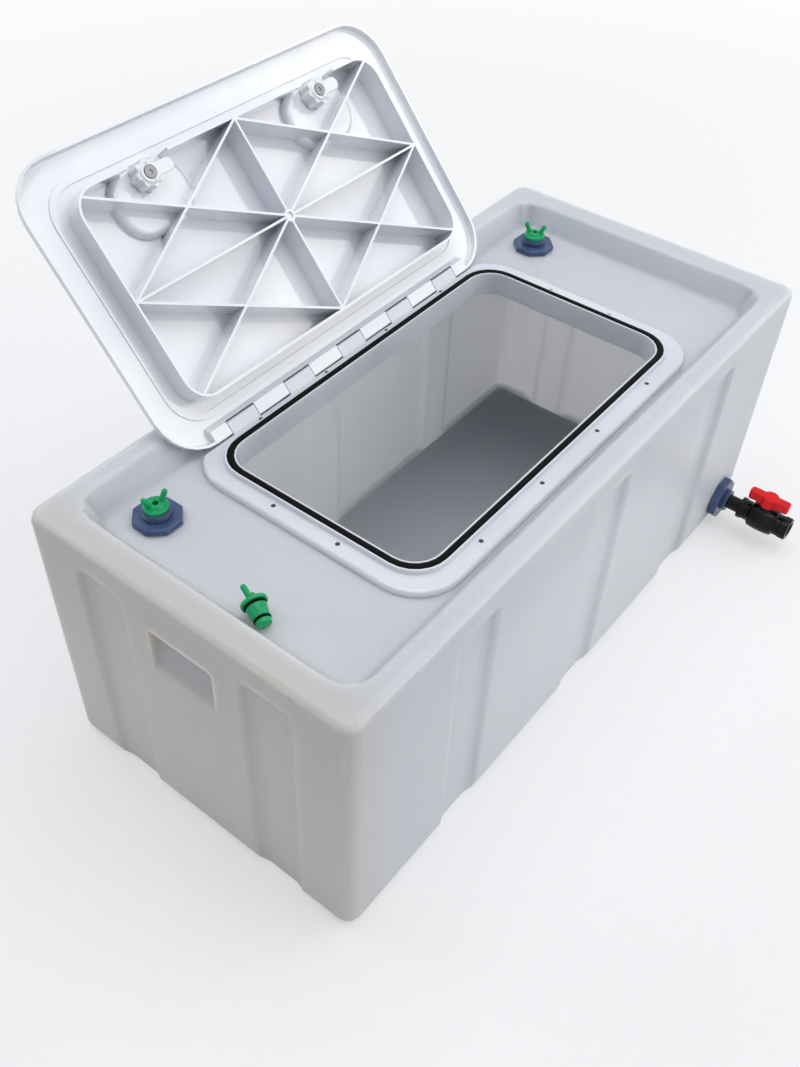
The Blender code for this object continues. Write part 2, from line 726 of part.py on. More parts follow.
def make_frame():
    outer = CHANNEL_HALF_WIDTH + CHANNEL_WALL
    edge = filleted([(SEAL_LINE_INSET, GAP), (SEAL_LINE_INSET, FRAME_THICKNESS),
                     (outer + CHANNEL_FOOT, FRAME_THICKNESS)], (FRAME_EDGE_ROUND,))
    profile = [tuple(p) for p in edge]
    profile += [(outer, CHANNEL_TOP), (CHANNEL_HALF_WIDTH, CHANNEL_TOP),
                (CHANNEL_HALF_WIDTH, CHANNEL_FLOOR), (-CHANNEL_HALF_WIDTH, CHANNEL_FLOOR),
                (-CHANNEL_HALF_WIDTH, CHANNEL_TOP), (-outer, CHANNEL_TOP),
                (-COLLAR_INNER, FRAME_THICKNESS), (-COLLAR_INNER, -COLLAR_DEPTH),
                (-COLLAR_OUTER, -COLLAR_DEPTH), (-COLLAR_OUTER, GAP)]
    frame = skin("hatch_frame", [frame_row(*p) for p in profile], ring=True)

    # The hinge side is cut back so the lid's barrel can turn, and carries one knuckle per window
    back = HINGE_Y - HINGE_CLEARANCE_RADIUS
    cut(frame, block("back", (-FRAME_HALF_X - PAST, back, DECK - PAST / 4),
                     (FRAME_HALF_X + PAST, FRAME_HALF_Y + PAST, DECK + DECK_DEPTH)))
    half = WINDOW_WIDTH / 2 - SLIDE_GAP
    outline = knuckle_section(back - PAST)
    for x in WINDOW_CENTRES:
        join(frame, skin("knuckle", [[(x + end, y, z) for y, z in outline] for end in (-half, half)]))
    bore = cylinder("bore", ROD_RADIUS + GAP, -BARREL_HALF, BARREL_HALF, SMALL_STEPS)
    bore.data.transform(Matrix.Rotation(math.pi / 2, 4, "Y"))
    cut(frame, shifted(bore, 0.0, HINGE_Y, HINGE_Z))

    # Slots in the collar let the latch cams through under the deck
    reach = LATCH_Y - (-SEAL_HALF_Y + COLLAR_INNER)
    swing = math.sqrt(max(CAM_REACH ** 2 - reach ** 2, 0.0)) + CAM_ROOM
    for side in (-1, 1):
        slot = block("slot", (side * LATCH_X - CAM_HALF_WIDTH - CAM_ROOM, -SEAL_HALF_Y - CAM_ROOM,
                              DECK + CAM_FOOT - CAM_ROOM_BELOW),
                     (side * LATCH_X + swing, -SEAL_HALF_Y + COLLAR_INNER + PAST, SKIN_UNDERSIDE))
        cut(frame, slot)
    for x, y in screw_places():
        cut(frame, shifted(screw_body(GAP), x, y, DECK + FRAME_THICKNESS))
    return finish(frame, "hatch_frame", material("hatch_plastic", (0.90, 0.91, 0.93), 0.25))


def make_seal():
    """The rubber strip in the channel, with a rounded back."""
    half = CHANNEL_HALF_WIDTH - GAP
    low = CHANNEL_FLOOR + GAP
    shoulder = SEAL_TOP - SEAL_CROWN
    profile = [(-half, low), (half, low)]
    for i in range(SEAL_CROWN_STEPS + 1):
        angle = math.pi * i / SEAL_CROWN_STEPS
        profile.append((half * math.cos(angle), shoulder + SEAL_CROWN * math.sin(angle)))
    seal = skin("hatch_seal", [frame_row(*p) for p in profile], ring=True)
    return finish(seal, "hatch_seal", material("seal_rubber", (0.02, 0.02, 0.02), 0.7))


def screw_body(grow):
    """A countersunk screw whose flat head ends at z = 0, or its hole when grown."""
    head = SCREW_HEAD_RADIUS + grow
    shank = SCREW_SHANK_RADIUS + grow
    low = -SCREW_LENGTH - grow
    top = PAST / 2 if grow else -SCREW_SUNK
    slope = (SCREW_HEAD_RADIUS - SCREW_SHANK_RADIUS) / SCREW_HEAD_DEPTH
    return turned("screw", [(0.0, low), (shank, low), (shank, -SCREW_HEAD_DEPTH), (head + slope * top, top),
                            (0.0, top)], SCREW_STEPS)


def make_screws():
    steel = material("screw_steel", (0.60, 0.60, 0.62), 0.35, 1.0)
    for number, (x, y) in enumerate(screw_places(), 1):
        screw = shifted(screw_body(0.0), x, y, DECK + FRAME_THICKNESS)
        finish(screw, f"frame_screw_{number:02d}", steel)


def make_rod():
    length = BARREL_HALF - ROD_END_GAP
    tip = ROD_RADIUS - SKIM
    rod = turned("rod", [(0.0, -length), (tip, -length), (ROD_RADIUS, -length + SKIM),
                         (ROD_RADIUS, length - SKIM), (tip, length), (0.0, length)], SMALL_STEPS)
    rod.data.transform(Matrix.Rotation(math.pi / 2, 4, "Y"))
    shifted(rod, 0.0, HINGE_Y, HINGE_Z)
    return finish(rod, "hinge_rod", material("rod_steel", (0.62, 0.62, 0.64), 0.3, 1.0))


# Lid, built closed and then turned open

def lid_row(inset, height):
    """One loop of the lid, inset from its outer edge."""
    return rounded_loop(LID_HALF_X - inset, LID_HALF_Y - inset, LID_CORNER - inset, DECK + height,
                        LID_MIDDLE_Y)


def lid_shell():
    """The lid's skin: down-turned lip, flange with the ridge that meets the seal, raised middle panel."""
    ridge = LID_INNER - LID_RIDGE_HEIGHT
    lip_foot = FRAME_THICKNESS + LID_LIP_GAP
    inside = filleted([(LID_LIP + LEG, LID_INNER), (LID_LIP, LID_INNER), (LID_LIP, lip_foot)],
                      (LID_FLANGE,))[1:]
    outside = filleted([(0.0, lip_foot), (0.0, LID_TOP), (LEG, LID_TOP)], (LID_EDGE_ROUND,))[:-1]
    step_out = PANEL_WALL_INSET - EDGE_BREAK
    loops = [lid_row(PANEL_WALL_INSET + RIB + PAST, LID_INNER)]
    crest = LID_RIDGE_HALF_WIDTH - SKIM
    for offset, height in ((-LID_RIDGE_HALF_WIDTH, LID_INNER), (-crest, ridge), (crest, ridge),
                           (LID_RIDGE_HALF_WIDTH, LID_INNER)):
        loops.append(frame_row(offset, height))
    loops += [lid_row(*p) for p in inside]
    loops += [lid_row(*p) for p in outside]
    loops.append(lid_row(step_out, LID_TOP))
    loops.append(lid_row(step_out + PANEL_SLOPE, PANEL_TOP - PANEL_EDGE_DROP))
    loops.append(lid_row(step_out + PANEL_SLOPE + PANEL_EDGE, PANEL_TOP))
    return skin("lid", loops)


def clipped(outline, point, normal, keep):
    """Keeps the side of a convex outline that lies further than keep along the normal."""
    result = []
    count = len(outline)
    for i in range(count):
        here = Vector(outline[i])
        after = Vector(outline[(i + 1) % count])
        one = (here - point).dot(normal) - keep
        two = (after - point).dot(normal) - keep
        if one >= 0:
            result.append(here)
        if (one > 0 > two) or (one < 0 < two):
            result.append(here.lerp(after, one / (one - two)))
    return result


def rib_cells():
    """Plan outlines of the sixteen pockets between the ribs."""
    a = PANEL_HALF_X
    b = PANEL_HALF_Y
    edge = rounded_outline(a, b, PANEL_CORNER)
    cells = []
    for sx in (-1, 1):
        for sy in (-1, 1):
            hub = Vector((0.0, 0.0))
            middle = Vector((sx * a / 2, sy * b / 2))
            corner = Vector((sx * a, sy * b))
            for side in (Vector((sx * a, 0.0)), Vector((0.0, sy * b))):
                cells.append(cell(edge, (hub, side, middle), ((0, 1), (1, 2), (2, 0))))
                cells.append(cell(edge, (side, corner, middle), ((1, 2), (2, 0))))
    return cells


def cell(edge, corners, ribs):
    """One pocket: the panel clipped by half a rib along each rib line round the triangle."""
    centre = sum(corners, Vector((0.0, 0.0))) / 3
    outline = edge
    for first, second in ribs:
        along = (corners[second] - corners[first]).normalized()
        normal = Vector((-along.y, along.x))
        if (centre - corners[first]).dot(normal) < 0:
            normal = -normal
        outline = clipped(outline, corners[first], normal, RIB / 2)
    return [(p.x, p.y) for p in outline]


def cup(grow, low, high):
    """The oval finger cup round a latch, straight-walled with a rounded floor edge."""
    rows = [(-CUP_FLOOR_ROUND, low), (0.0, low + CUP_FLOOR_ROUND), (0.0, high)]
    loops = []
    for inset, z in rows:
        loop = rounded_loop(CUP_HALF_LENGTH + inset - grow, CUP_HALF_WIDTH + inset - grow,
                            CUP_CORNER + inset - grow, DECK + z, steps=CUP_CORNER_STEPS)
        loops.append([(x + CUP_SHIFT_X, y + CUP_SHIFT_Y, z) for x, y, z in loop])
    return skin("cup", loops)


def hinge_block_section():
    """The thick strip under the lid's back edge, seen from the side, that the rod runs through."""
    back = LID_BARREL_RADIUS - LID_LET_IN
    inside = LID_BARREL_RADIUS - LET_IN
    shoulder = LID_BARREL_RADIUS - LID_EDGE_ROUND
    section = [(-HINGE_BLOCK_REACH - HINGE_BLOCK_SLOPE, inside), (-HINGE_BLOCK_REACH, -HINGE_FACE),
               (back - LID_LET_IN, -HINGE_FACE), (back, -HINGE_FACE + LID_LET_IN), (back, shoulder),
               (shoulder, inside)]
    return [(HINGE_Y + y, HINGE_Z + z) for y, z in section]


def make_lid():
    lid = lid_shell()
    section = hinge_block_section()
    ends = (-BARREL_HALF, BARREL_HALF)
    join(lid, skin("hinge_block", [[(end, y, z) for y, z in section] for end in ends]))
    grid = rounded_outline(PANEL_HALF_X + RIB, PANEL_HALF_Y + RIB, PANEL_CORNER + RIB)
    join(lid, prism("grid", grid, DECK + RIB_FOOT, DECK + PANEL_TOP - LET_IN))
    for outline in rib_cells():
        cut(lid, prism("pocket", outline, DECK + RIB_FOOT - PAST, DECK + PANEL_INNER))
    join(lid, cylinder("hub", HUB_RADIUS, DECK + RIB_FOOT - HUB_PROUD, DECK + PANEL_INNER + OVERCUT,
                       SMALL_STEPS))
    cut(lid, cylinder("hub_bore", HUB_BORE, DECK + RIB_FOOT - PAST,
                      DECK + RIB_FOOT + HUB_BORE_DEPTH, SMALL_STEPS))
    for side in (-1, 1):
        x = side * LATCH_X
        join(lid, shifted(cup(0.0, CUP_INNER, PANEL_TOP - LET_IN / 2), x, LATCH_Y))
        cut(lid, shifted(cup(CUP_WALL, CUP_FLOOR, PANEL_TOP + PAST), x, LATCH_Y))
        shaft = cylinder("shaft", LATCH_SHAFT_RADIUS + GAP, DECK + CUP_INNER - PAST, DECK + PANEL_TOP,
                         SMALL_STEPS)
        cut(lid, shifted(shaft, x, LATCH_Y))
        gap = LATCH_Y + PANEL_HALF_Y
        swing = math.sqrt(max(CAM_REACH ** 2 - gap ** 2, 0.0)) + DOORWAY_ROOM
        near = (x - LATCH_NUT_RADIUS - DOORWAY_NUT_ROOM, -PANEL_HALF_Y - RIB - OVERCUT,
                DECK + RIB_FOOT - PAST)
        cut(lid, block("doorway", near, (x + swing, -PANEL_HALF_Y + SKIM, DECK + CUP_INNER + SKIM)))
    for x in WINDOW_CENTRES:
        cut(lid, block("window", (x - WINDOW_WIDTH / 2, HINGE_Y - WINDOW_REACH, DECK),
                       (x + WINDOW_WIDTH / 2, LID_BACK_Y + PAST, DECK + PANEL_TOP)))
    rod_room = BARREL_HALF - ROD_END_GAP + SKIM
    bore = cylinder("bore", ROD_RADIUS + GAP, -rod_room, rod_room, SMALL_STEPS)
    bore.data.transform(Matrix.Rotation(math.pi / 2, 4, "Y"))
    cut(lid, shifted(bore, 0.0, HINGE_Y, HINGE_Z))
    return finish(lid, "lid", material("lid_plastic", (0.90, 0.91, 0.93), 0.2), open_turn(),
                  Vector((0.0, HINGE_Y, HINGE_Z)))


# Twist latches

def latch_handle():
    """Disc and finger lever in the cup, with the shaft that runs down through the lid."""
    low = CUP_FLOOR + GAP
    disc_top = low + LATCH_DISC_HEIGHT
    shaft_foot = RIB_FOOT + LATCH_SCREW_HEAD_HEIGHT + 2 * GAP
    counterbore = LATCH_RING_RADIUS + LATCH_RING_SECTION + LATCH_RING_ROOM
    seat = low + 2 * LATCH_RING_SECTION + GAP
    handle = turned("handle", [(0.0, shaft_foot), (LATCH_SHAFT_RADIUS, shaft_foot),
                               (LATCH_SHAFT_RADIUS, seat), (counterbore, seat), (counterbore, low),
                               (LATCH_DISC_RADIUS, low), (LATCH_DISC_RADIUS, disc_top - LATCH_DISC_CHAMFER),
                               (LATCH_DISC_RADIUS - LATCH_DISC_CHAMFER, disc_top), (0.0, disc_top)],
                    INNER_STEPS)
    half = LATCH_GRIP_WIDTH / 2
    outline = rounded_outline(half, (LATCH_GRIP_REACH + LATCH_GRIP_TAIL) / 2, half - SKIM,
                              (LATCH_GRIP_REACH - LATCH_GRIP_TAIL) / 2, CUP_CORNER_STEPS)
    grip = softened(prism("grip", outline, disc_top - LET_IN, PANEL_TOP - GAP), EDGE_BREAK, 1)
    join(handle, grip)
    hole = cylinder("thread", LATCH_SCREW_SHANK_RADIUS + GAP, shaft_foot - OVERCUT,
                    shaft_foot + LATCH_SCREW_SHANK_LENGTH + OVERCUT, SMALL_STEPS)
    return cut(handle, hole)


def latch_nut():
    """Lobed nut under the lid with the cam arm that swings below the deck."""
    top = CUP_INNER - GAP
    outline = []
    points = LATCH_NUT_LOBES * LOBE_STEPS
    for i in range(points):
        angle = 2 * math.pi * i / points
        radius = LATCH_NUT_RADIUS + LATCH_NUT_LOBE * math.cos(LATCH_NUT_LOBES * angle)
        outline.append((radius * math.cos(angle), radius * math.sin(angle)))
    loops = []
    for scale, z in ((LATCH_NUT_TAPER, RIB_FOOT), (1.0, RIB_FOOT + LATCH_NUT_CHAMFER), (1.0, top)):
        loops.append([(x * scale, y * scale, z) for x, y in outline])
    nut = skin("nut", loops)
    arm = []
    for i in range(ARM_STEPS + 1):
        angle = math.pi * (i / ARM_STEPS - 0.5)
        arm.append((CAM_REACH - CAM_HALF_WIDTH + CAM_HALF_WIDTH * math.cos(angle),
                    CAM_HALF_WIDTH * math.sin(angle)))
    arm += [(0.0, CAM_HALF_WIDTH), (0.0, -CAM_HALF_WIDTH)]
    join(nut, prism("arm", arm, CAM_FOOT, CAM_TOP))
    low = RIB_FOOT - OVERCUT
    deep = RIB_FOOT + FACE_GROOVE_DEPTH
    face = turned("face_groove", [(FACE_GROOVE_INNER, low), (FACE_GROOVE_OUTER, low),
                                  (FACE_GROOVE_OUTER, deep), (FACE_GROOVE_INNER, deep)], INNER_STEPS)
    bore = cylinder("bore", LATCH_SHAFT_RADIUS + GAP, low, top + OVERCUT, INNER_STEPS)
    recess = cylinder("recess", LATCH_SCREW_HEAD_RADIUS + GAP, low,
                      RIB_FOOT + LATCH_SCREW_HEAD_HEIGHT + GAP, SMALL_STEPS)
    long = 2 * LATCH_NUT_RADIUS
    slits = block("slits", (-SLIT_HALF_WIDTH, -long, low), (SLIT_HALF_WIDTH, long, deep))
    return cut(nut, face, bore, recess, slits)


def latch_screw():
    low = RIB_FOOT + TINY
    head_top = low + LATCH_SCREW_HEAD_HEIGHT
    shank_top = head_top + LATCH_SCREW_SHANK_LENGTH
    return turned("screw", [(0.0, low), (LATCH_SCREW_HEAD_RADIUS - SKIM, low),
                            (LATCH_SCREW_HEAD_RADIUS, low + SKIM), (LATCH_SCREW_HEAD_RADIUS, head_top),
                            (LATCH_SCREW_SHANK_RADIUS, head_top), (LATCH_SCREW_SHANK_RADIUS, shank_top),
                            (0.0, shank_top)], SMALL_STEPS)


def make_latches():
    white = material("latch_plastic", (0.88, 0.89, 0.91), 0.3)
    steel = material("latch_screw_steel", (0.60, 0.60, 0.62), 0.35, 1.0)
    rubber = material("latch_ring_rubber", (0.02, 0.02, 0.02), 0.7)
    ring_height = CUP_FLOOR + GAP + LATCH_RING_SECTION
    for side, word in ((-1, "left"), (1, "right")):
        place = open_turn() @ Matrix.Translation((side * LATCH_X, LATCH_Y, DECK))
        pivot = (open_turn() @ Vector((side * LATCH_X, LATCH_Y, HINGE_Z)))
        ring = ring_seal("ring", LATCH_RING_RADIUS, LATCH_RING_SECTION, ring_height)
        finish(latch_handle(), f"latch_handle_{word}", white, place, pivot)
        finish(latch_nut(), f"latch_cam_{word}", white, place, pivot)
        finish(latch_screw(), f"latch_screw_{word}", steel, place, pivot)
        finish(ring, f"latch_ring_{word}", rubber, place, pivot)


# Deck ports and plugs

def nut_body(flats, bore, height):
    """An octagonal locknut standing on z = 0, chamfered on top and bored through."""
    outline = octagon(flats)
    scale = 1 - 2 * NUT_CHAMFER / flats
    loops = [[(x, y, 0.0) for x, y in outline], [(x, y, height - NUT_CHAMFER) for x, y in outline],
             [(x * scale, y * scale, height) for x, y in outline]]
    nut = skin("nut", loops)
    return cut(nut, cylinder("bore", bore, -OVERCUT, height + OVERCUT, ROUND_STEPS))


def gasket_body(inner, outer):
    return turned("gasket", [(inner, 0.0), (outer, 0.0), (outer, GASKET), (inner, GASKET)], ROUND_STEPS)


def port_body():
    """Flanged tube whose flange hangs under the deck; z = 0 is the deck."""
    flange_top = -TANK_WALL - GASKET - 2 * GAP
    flange_low = flange_top - PORT_FLANGE
    low = flange_low - PORT_TAIL
    seat_low = PORT_RISE - PLUG_LENGTH - PORT_SEAT_SPARE
    return turned("port", [(PORT_RADIUS - EDGE_BREAK, PORT_RISE), (PORT_RADIUS, PORT_RISE - EDGE_BREAK),
                           (PORT_RADIUS, flange_top), (PORT_FLANGE_RADIUS, flange_top),
                           (PORT_FLANGE_RADIUS, flange_low), (PORT_RADIUS - PORT_TAIL_STEP, flange_low),
                           (PORT_RADIUS - PORT_TAIL_STEP - EDGE_BREAK, low), (PORT_BORE_FOOT, low),
                           (PORT_BORE_FOOT, seat_low), (PORT_BORE_TOP, PORT_RISE - PORT_MOUTH),
                           (PORT_BORE_TOP, PORT_RISE)], ROUND_STEPS)


def plug_body():
    """Tapered plug whose flange sits on z = 0, with two ring grooves and two wings to turn it by."""
    slope = (PLUG_TOP_RADIUS - PLUG_FOOT_RADIUS) / (PLUG_LENGTH - PLUG_GROOVE_WIDTH)

    def cone(z):
        return PLUG_TOP_RADIUS - slope * (-PLUG_GROOVE_WIDTH - z)

    neck = PLUG_TOP_RADIUS - PLUG_GROOVE_DEPTH
    foot_top = -PLUG_LENGTH + PLUG_FOOT_LENGTH
    foot_groove = foot_top + PLUG_GROOVE_WIDTH
    foot_neck = cone(foot_top) - PLUG_GROOVE_DEPTH
    crown = PLUG_FLANGE + PLUG_CROWN
    plug = turned("plug", [(0.0, -PLUG_LENGTH), (PLUG_FOOT_RADIUS - SKIM, -PLUG_LENGTH),
                           (cone(-PLUG_LENGTH + SKIM), -PLUG_LENGTH + SKIM), (cone(foot_top), foot_top),
                           (foot_neck, foot_top), (foot_neck, foot_groove), (cone(foot_groove), foot_groove),
                           (PLUG_TOP_RADIUS, -PLUG_GROOVE_WIDTH), (neck, -PLUG_GROOVE_WIDTH), (neck, 0.0),
                           (PLUG_FLANGE_RADIUS, 0.0), (PLUG_FLANGE_RADIUS, PLUG_FLANGE - EDGE_BREAK),
                           (PLUG_FLANGE_RADIUS - EDGE_BREAK, PLUG_FLANGE), (PLUG_CROWN_FOOT, PLUG_FLANGE),
                           (PLUG_CROWN_TOP, crown), (0.0, crown)], INNER_STEPS)
    for side in (-1, 1):
        wing = turned("wing", [(0.0, -WING_TIP), (WING_RADIUS, -WING_TIP),
                               (WING_RADIUS, WING_LENGTH - WING_TIP),
                               (WING_RADIUS * 0.7, WING_LENGTH - WING_TIP * 0.3), (0.0, WING_LENGTH)],
                      PIN_STEPS)
        wing.data.transform(Matrix.Rotation(math.radians(side * WING_LEAN), 4, "Y"))
        join(plug, shifted(wing, side * WING_ROOT, 0.0, PLUG_FLANGE))
    return cut(plug, cylinder("bore", PLUG_BORE, crown - PLUG_BORE_DEPTH, WING_LENGTH, PIN_STEPS))


def plug_ring(word):
    """Rubber ring in the upper or the lower groove of a plug."""
    slope = (PLUG_TOP_RADIUS - PLUG_FOOT_RADIUS) / (PLUG_LENGTH - PLUG_GROOVE_WIDTH)
    middle = -PLUG_GROOVE_WIDTH / 2
    neck = PLUG_TOP_RADIUS - PLUG_GROOVE_DEPTH
    if word == "lower":
        foot_top = -PLUG_LENGTH + PLUG_FOOT_LENGTH
        middle = foot_top + PLUG_GROOVE_WIDTH / 2
        neck = PLUG_TOP_RADIUS - slope * (-PLUG_GROOVE_WIDTH - foot_top) - PLUG_GROOVE_DEPTH
    return ring_seal("ring", neck + RING_SECTION + GAP, RING_SECTION, middle)


def make_plug(word, place, pivot):
    green = material("plug_plastic", (0.03, 0.50, 0.16), 0.3)
    rubber = material("plug_ring_rubber", (0.02, 0.02, 0.02), 0.7)
    finish(plug_body(), f"plug_{word}", green, place, pivot)
    finish(plug_ring("upper"), f"plug_ring_upper_{word}", rubber, place, pivot)
    finish(plug_ring("lower"), f"plug_ring_lower_{word}", rubber, place, pivot)


def make_ports():
    navy = material("port_plastic", (0.035, 0.05, 0.10), 0.4)
    rubber = material("port_gasket_rubber", (0.02, 0.02, 0.02), 0.7)
    for (x, y), word, turn in zip(port_places(), ("left", "right"), PLUG_TURNS):
        place = Matrix.Translation((x, y, DECK))
        finish(port_body(), f"port_{word}", navy, place)
        nut = nut_body(PORT_NUT_FLATS, PORT_RADIUS + GAP, PORT_NUT_HEIGHT)
        finish(nut, f"port_nut_{word}", navy, place @ Matrix.Translation((0.0, 0.0, GAP)))
        washer = gasket_body(PORT_RADIUS + GAP, PORT_FLANGE_RADIUS - EDGE_BREAK)
        low = -TANK_WALL - GASKET - GAP
        finish(washer, f"port_gasket_{word}", rubber, place @ Matrix.Translation((0.0, 0.0, low)))
        seat = Vector((x, y, DECK + PORT_RISE + GAP))
        make_plug(word, Matrix.Translation(seat) @ Matrix.Rotation(math.radians(turn), 4, "Z"), seat)


def make_loose_plug():
    """The third plug lies on the deck, touching it with its flange and its lower ring."""
    foot_ring = plug_ring("lower")
    low_radius = max(p.co.x for p in foot_ring.data.vertices)
    low_height = sum(p.co.z for p in foot_ring.data.vertices) / len(foot_ring.data.vertices)
    bpy.data.objects.remove(foot_ring)
    run = PLUG_FLANGE / 2 - low_height
    tilt = math.atan2(PLUG_FLANGE_RADIUS - low_radius, run)
    twist = Matrix.Rotation(math.radians(LOOSE_PLUG_TWIST), 4, "Z")
    lie = Matrix.Rotation(math.pi / 2 - tilt, 4, "X") @ twist
    turn = Matrix.Rotation(math.radians(LOOSE_PLUG_TURN + 90.0), 4, "Z")
    x = -HALF_LENGTH + LOOSE_PLUG_END_INSET
    shape = turn @ lie
    probe = plug_body()
    rings = [plug_ring("upper"), plug_ring("lower")]
    lowest = min((shape @ p.co).z for thing in [probe] + rings for p in thing.data.vertices)
    for thing in [probe] + rings:
        bpy.data.objects.remove(thing)
    spot = Vector((x, LOOSE_PLUG_Y, DECK + GAP - lowest))
    make_plug("loose", Matrix.Translation(spot) @ shape, spot)


# Drain fitting and ball valve

def drain_turn(offset=0.0):
    """Turns +Z to point out of the front side, starting offset from its face."""
    spot = Matrix.Translation((DRAIN_X, -HALF_WIDTH - offset, DRAIN_HEIGHT))
    return spot @ Matrix.Rotation(math.pi / 2, 4, "X")


def drain_connector():
    """Flanged tube through the wall; z = 0 is the outer face."""
    flange_out = -TANK_WALL - GASKET - 2 * GAP
    flange_in = flange_out - DRAIN_FLANGE
    end = DRAIN_NUT_LENGTH + DRAIN_COLLAR
    stop = end - PIPE_SOCKET - GAP
    return turned("connector", [(DRAIN_RADIUS - EDGE_BREAK, end), (DRAIN_RADIUS, end - EDGE_BREAK),
                                (DRAIN_RADIUS, flange_out), (DRAIN_FLANGE_RADIUS, flange_out),
                                (DRAIN_FLANGE_RADIUS, flange_in), (PIPE_BORE, flange_in), (PIPE_BORE, stop),
                                (DRAIN_BORE, stop), (DRAIN_BORE, end)], ROUND_STEPS)


def drain_pipe():
    start = DRAIN_NUT_LENGTH + DRAIN_COLLAR - PIPE_SOCKET
    end = DRAIN_NUT_LENGTH + DRAIN_COLLAR + PIPE_SHOWN + PIPE_SOCKET
    return turned("pipe", [(PIPE_BORE, start), (PIPE_RADIUS, start), (PIPE_RADIUS, end), (PIPE_BORE, end)],
                  INNER_STEPS)


def valve_body():
    """Valve housing about the pipe axis with z = 0 at the ball: socket, round waist, outlet and boss."""
    start = -VALVE_BODY_HALF - VALVE_SOCKET_LENGTH
    out = VALVE_BODY_HALF + VALVE_OUTLET_LENGTH
    shoulder = -VALVE_BODY_HALF + VALVE_PIPE_STOP
    slim = VALVE_SOCKET_RADIUS + WAIST_STEP
    neck = VALVE_SOCKET_RADIUS - VALVE_NECK
    lip = start + VALVE_LIP
    waist = []
    for i in range(WAIST_STEPS + 1):
        angle = math.pi * i / WAIST_STEPS
        bulge = (VALVE_BODY_RADIUS - slim) * math.sin(angle) ** WAIST_FULLNESS
        waist.append((slim + bulge, -VALVE_BODY_HALF * math.cos(angle)))
    profile = [(VALVE_SOCKET_RADIUS - VALVE_CHAMFER, start), (VALVE_SOCKET_RADIUS, start + VALVE_CHAMFER),
               (VALVE_SOCKET_RADIUS, lip), (neck, lip + EDGE_BREAK),
               (neck, -VALVE_BODY_HALF - VALVE_PIPE_STOP)]
    profile += waist
    profile += [(VALVE_SOCKET_RADIUS, VALVE_BODY_HALF + EDGE_BREAK), (VALVE_SOCKET_RADIUS, out),
                (CHAMBER_RADIUS, out), (CHAMBER_RADIUS, -SEAT_BACK), (SEAT_BORE, -SEAT_BACK),
                (SEAT_BORE, shoulder), (PIPE_BORE, shoulder - EDGE_BREAK),
                (PIPE_BORE, start + PIPE_SOCKET + GAP),
                (PIPE_RADIUS + GAP, start + PIPE_SOCKET + GAP), (PIPE_RADIUS + GAP, start)]
    body = turned("valve", profile, ROUND_STEPS)
    boss = cylinder("boss", BOSS_RADIUS, CHAMBER_RADIUS + EDGE_BREAK, BOSS_RISE, INNER_STEPS)
    boss.data.transform(Matrix.Rotation(-math.pi / 2, 4, "X"))
    join(body, boss)
    low = CHAMBER_RADIUS - PAST
    high = BOSS_RISE + PAST
    ledge = BOSS_RISE - STEM_COLLAR
    hole = turned("hole", [(0.0, low), (STEM_RADIUS + GAP, low), (STEM_RADIUS + GAP, ledge),
                           (STEM_COLLAR_RADIUS, ledge), (STEM_COLLAR_RADIUS, high), (0.0, high)],
                  SMALL_STEPS)
    hole.data.transform(Matrix.Rotation(-math.pi / 2, 4, "X"))
    return cut(body, hole)


def valve_union():
    """Screwed end piece that holds the outer seat in."""
    out = VALVE_BODY_HALF + VALVE_OUTLET_LENGTH
    end = out + GAP + VALVE_UNION_LENGTH
    sleeve = CHAMBER_RADIUS - GAP
    neck = VALVE_SOCKET_RADIUS - VALVE_NECK
    stop = out + VALVE_PIPE_STOP
    return turned("union", [(neck, end), (VALVE_SOCKET_RADIUS, end - VALVE_NECK),
                            (VALVE_SOCKET_RADIUS, out + GAP + VALVE_NECK), (neck, out + GAP),
                            (sleeve, out + GAP), (sleeve, SEAT_BACK + GAP), (SEAT_BORE, SEAT_BACK + GAP),
                            (SEAT_BORE, stop), (PIPE_RADIUS, stop + EDGE_BREAK), (PIPE_RADIUS, end)],
                  ROUND_STEPS)


def valve_seat(side):
    """Ring with a hollowed face that the ball turns against."""
    reach = BALL_RADIUS + GAP
    back = SEAT_BACK - GAP if side < 0 else SEAT_BACK
    outer = CHAMBER_RADIUS - GAP
    profile = [(SEAT_BORE, back), (outer, back), (outer, SEAT_FACE)]
    low = math.asin(SEAT_FACE / reach)
    high = math.acos(SEAT_BORE / reach)
    for i in range(SEAT_STEPS + 1):
        angle = low + (high - low) * i / SEAT_STEPS
        profile.append((reach * math.cos(angle), reach * math.sin(angle)))
    return turned("seat", [(r, side * z) for r, z in profile], INNER_STEPS)


def valve_ball():
    """Bored ball with the slot that the stem's tang turns it by."""
    end = math.sqrt(BALL_RADIUS ** 2 - BALL_BORE ** 2)
    profile = []
    high = math.acos(BALL_BORE / BALL_RADIUS)
    for i in range(2 * BALL_STEPS + 1):
        angle = high * (1 - i / BALL_STEPS)
        profile.append((BALL_RADIUS * math.cos(angle), BALL_RADIUS * math.sin(angle)))
    profile[0] = (BALL_BORE, end)
    profile[-1] = (BALL_BORE, -end)
    ball = turned("ball", profile, INNER_STEPS)
    half_length = TANG_LENGTH / 2 + GAP
    half_width = TANG_WIDTH / 2 + GAP
    slot = block("slot", (-half_width, BALL_RADIUS - TANG_DEPTH - GAP, -half_length),
                 (half_width, BALL_RADIUS + PAST, half_length))
    return cut(ball, slot)


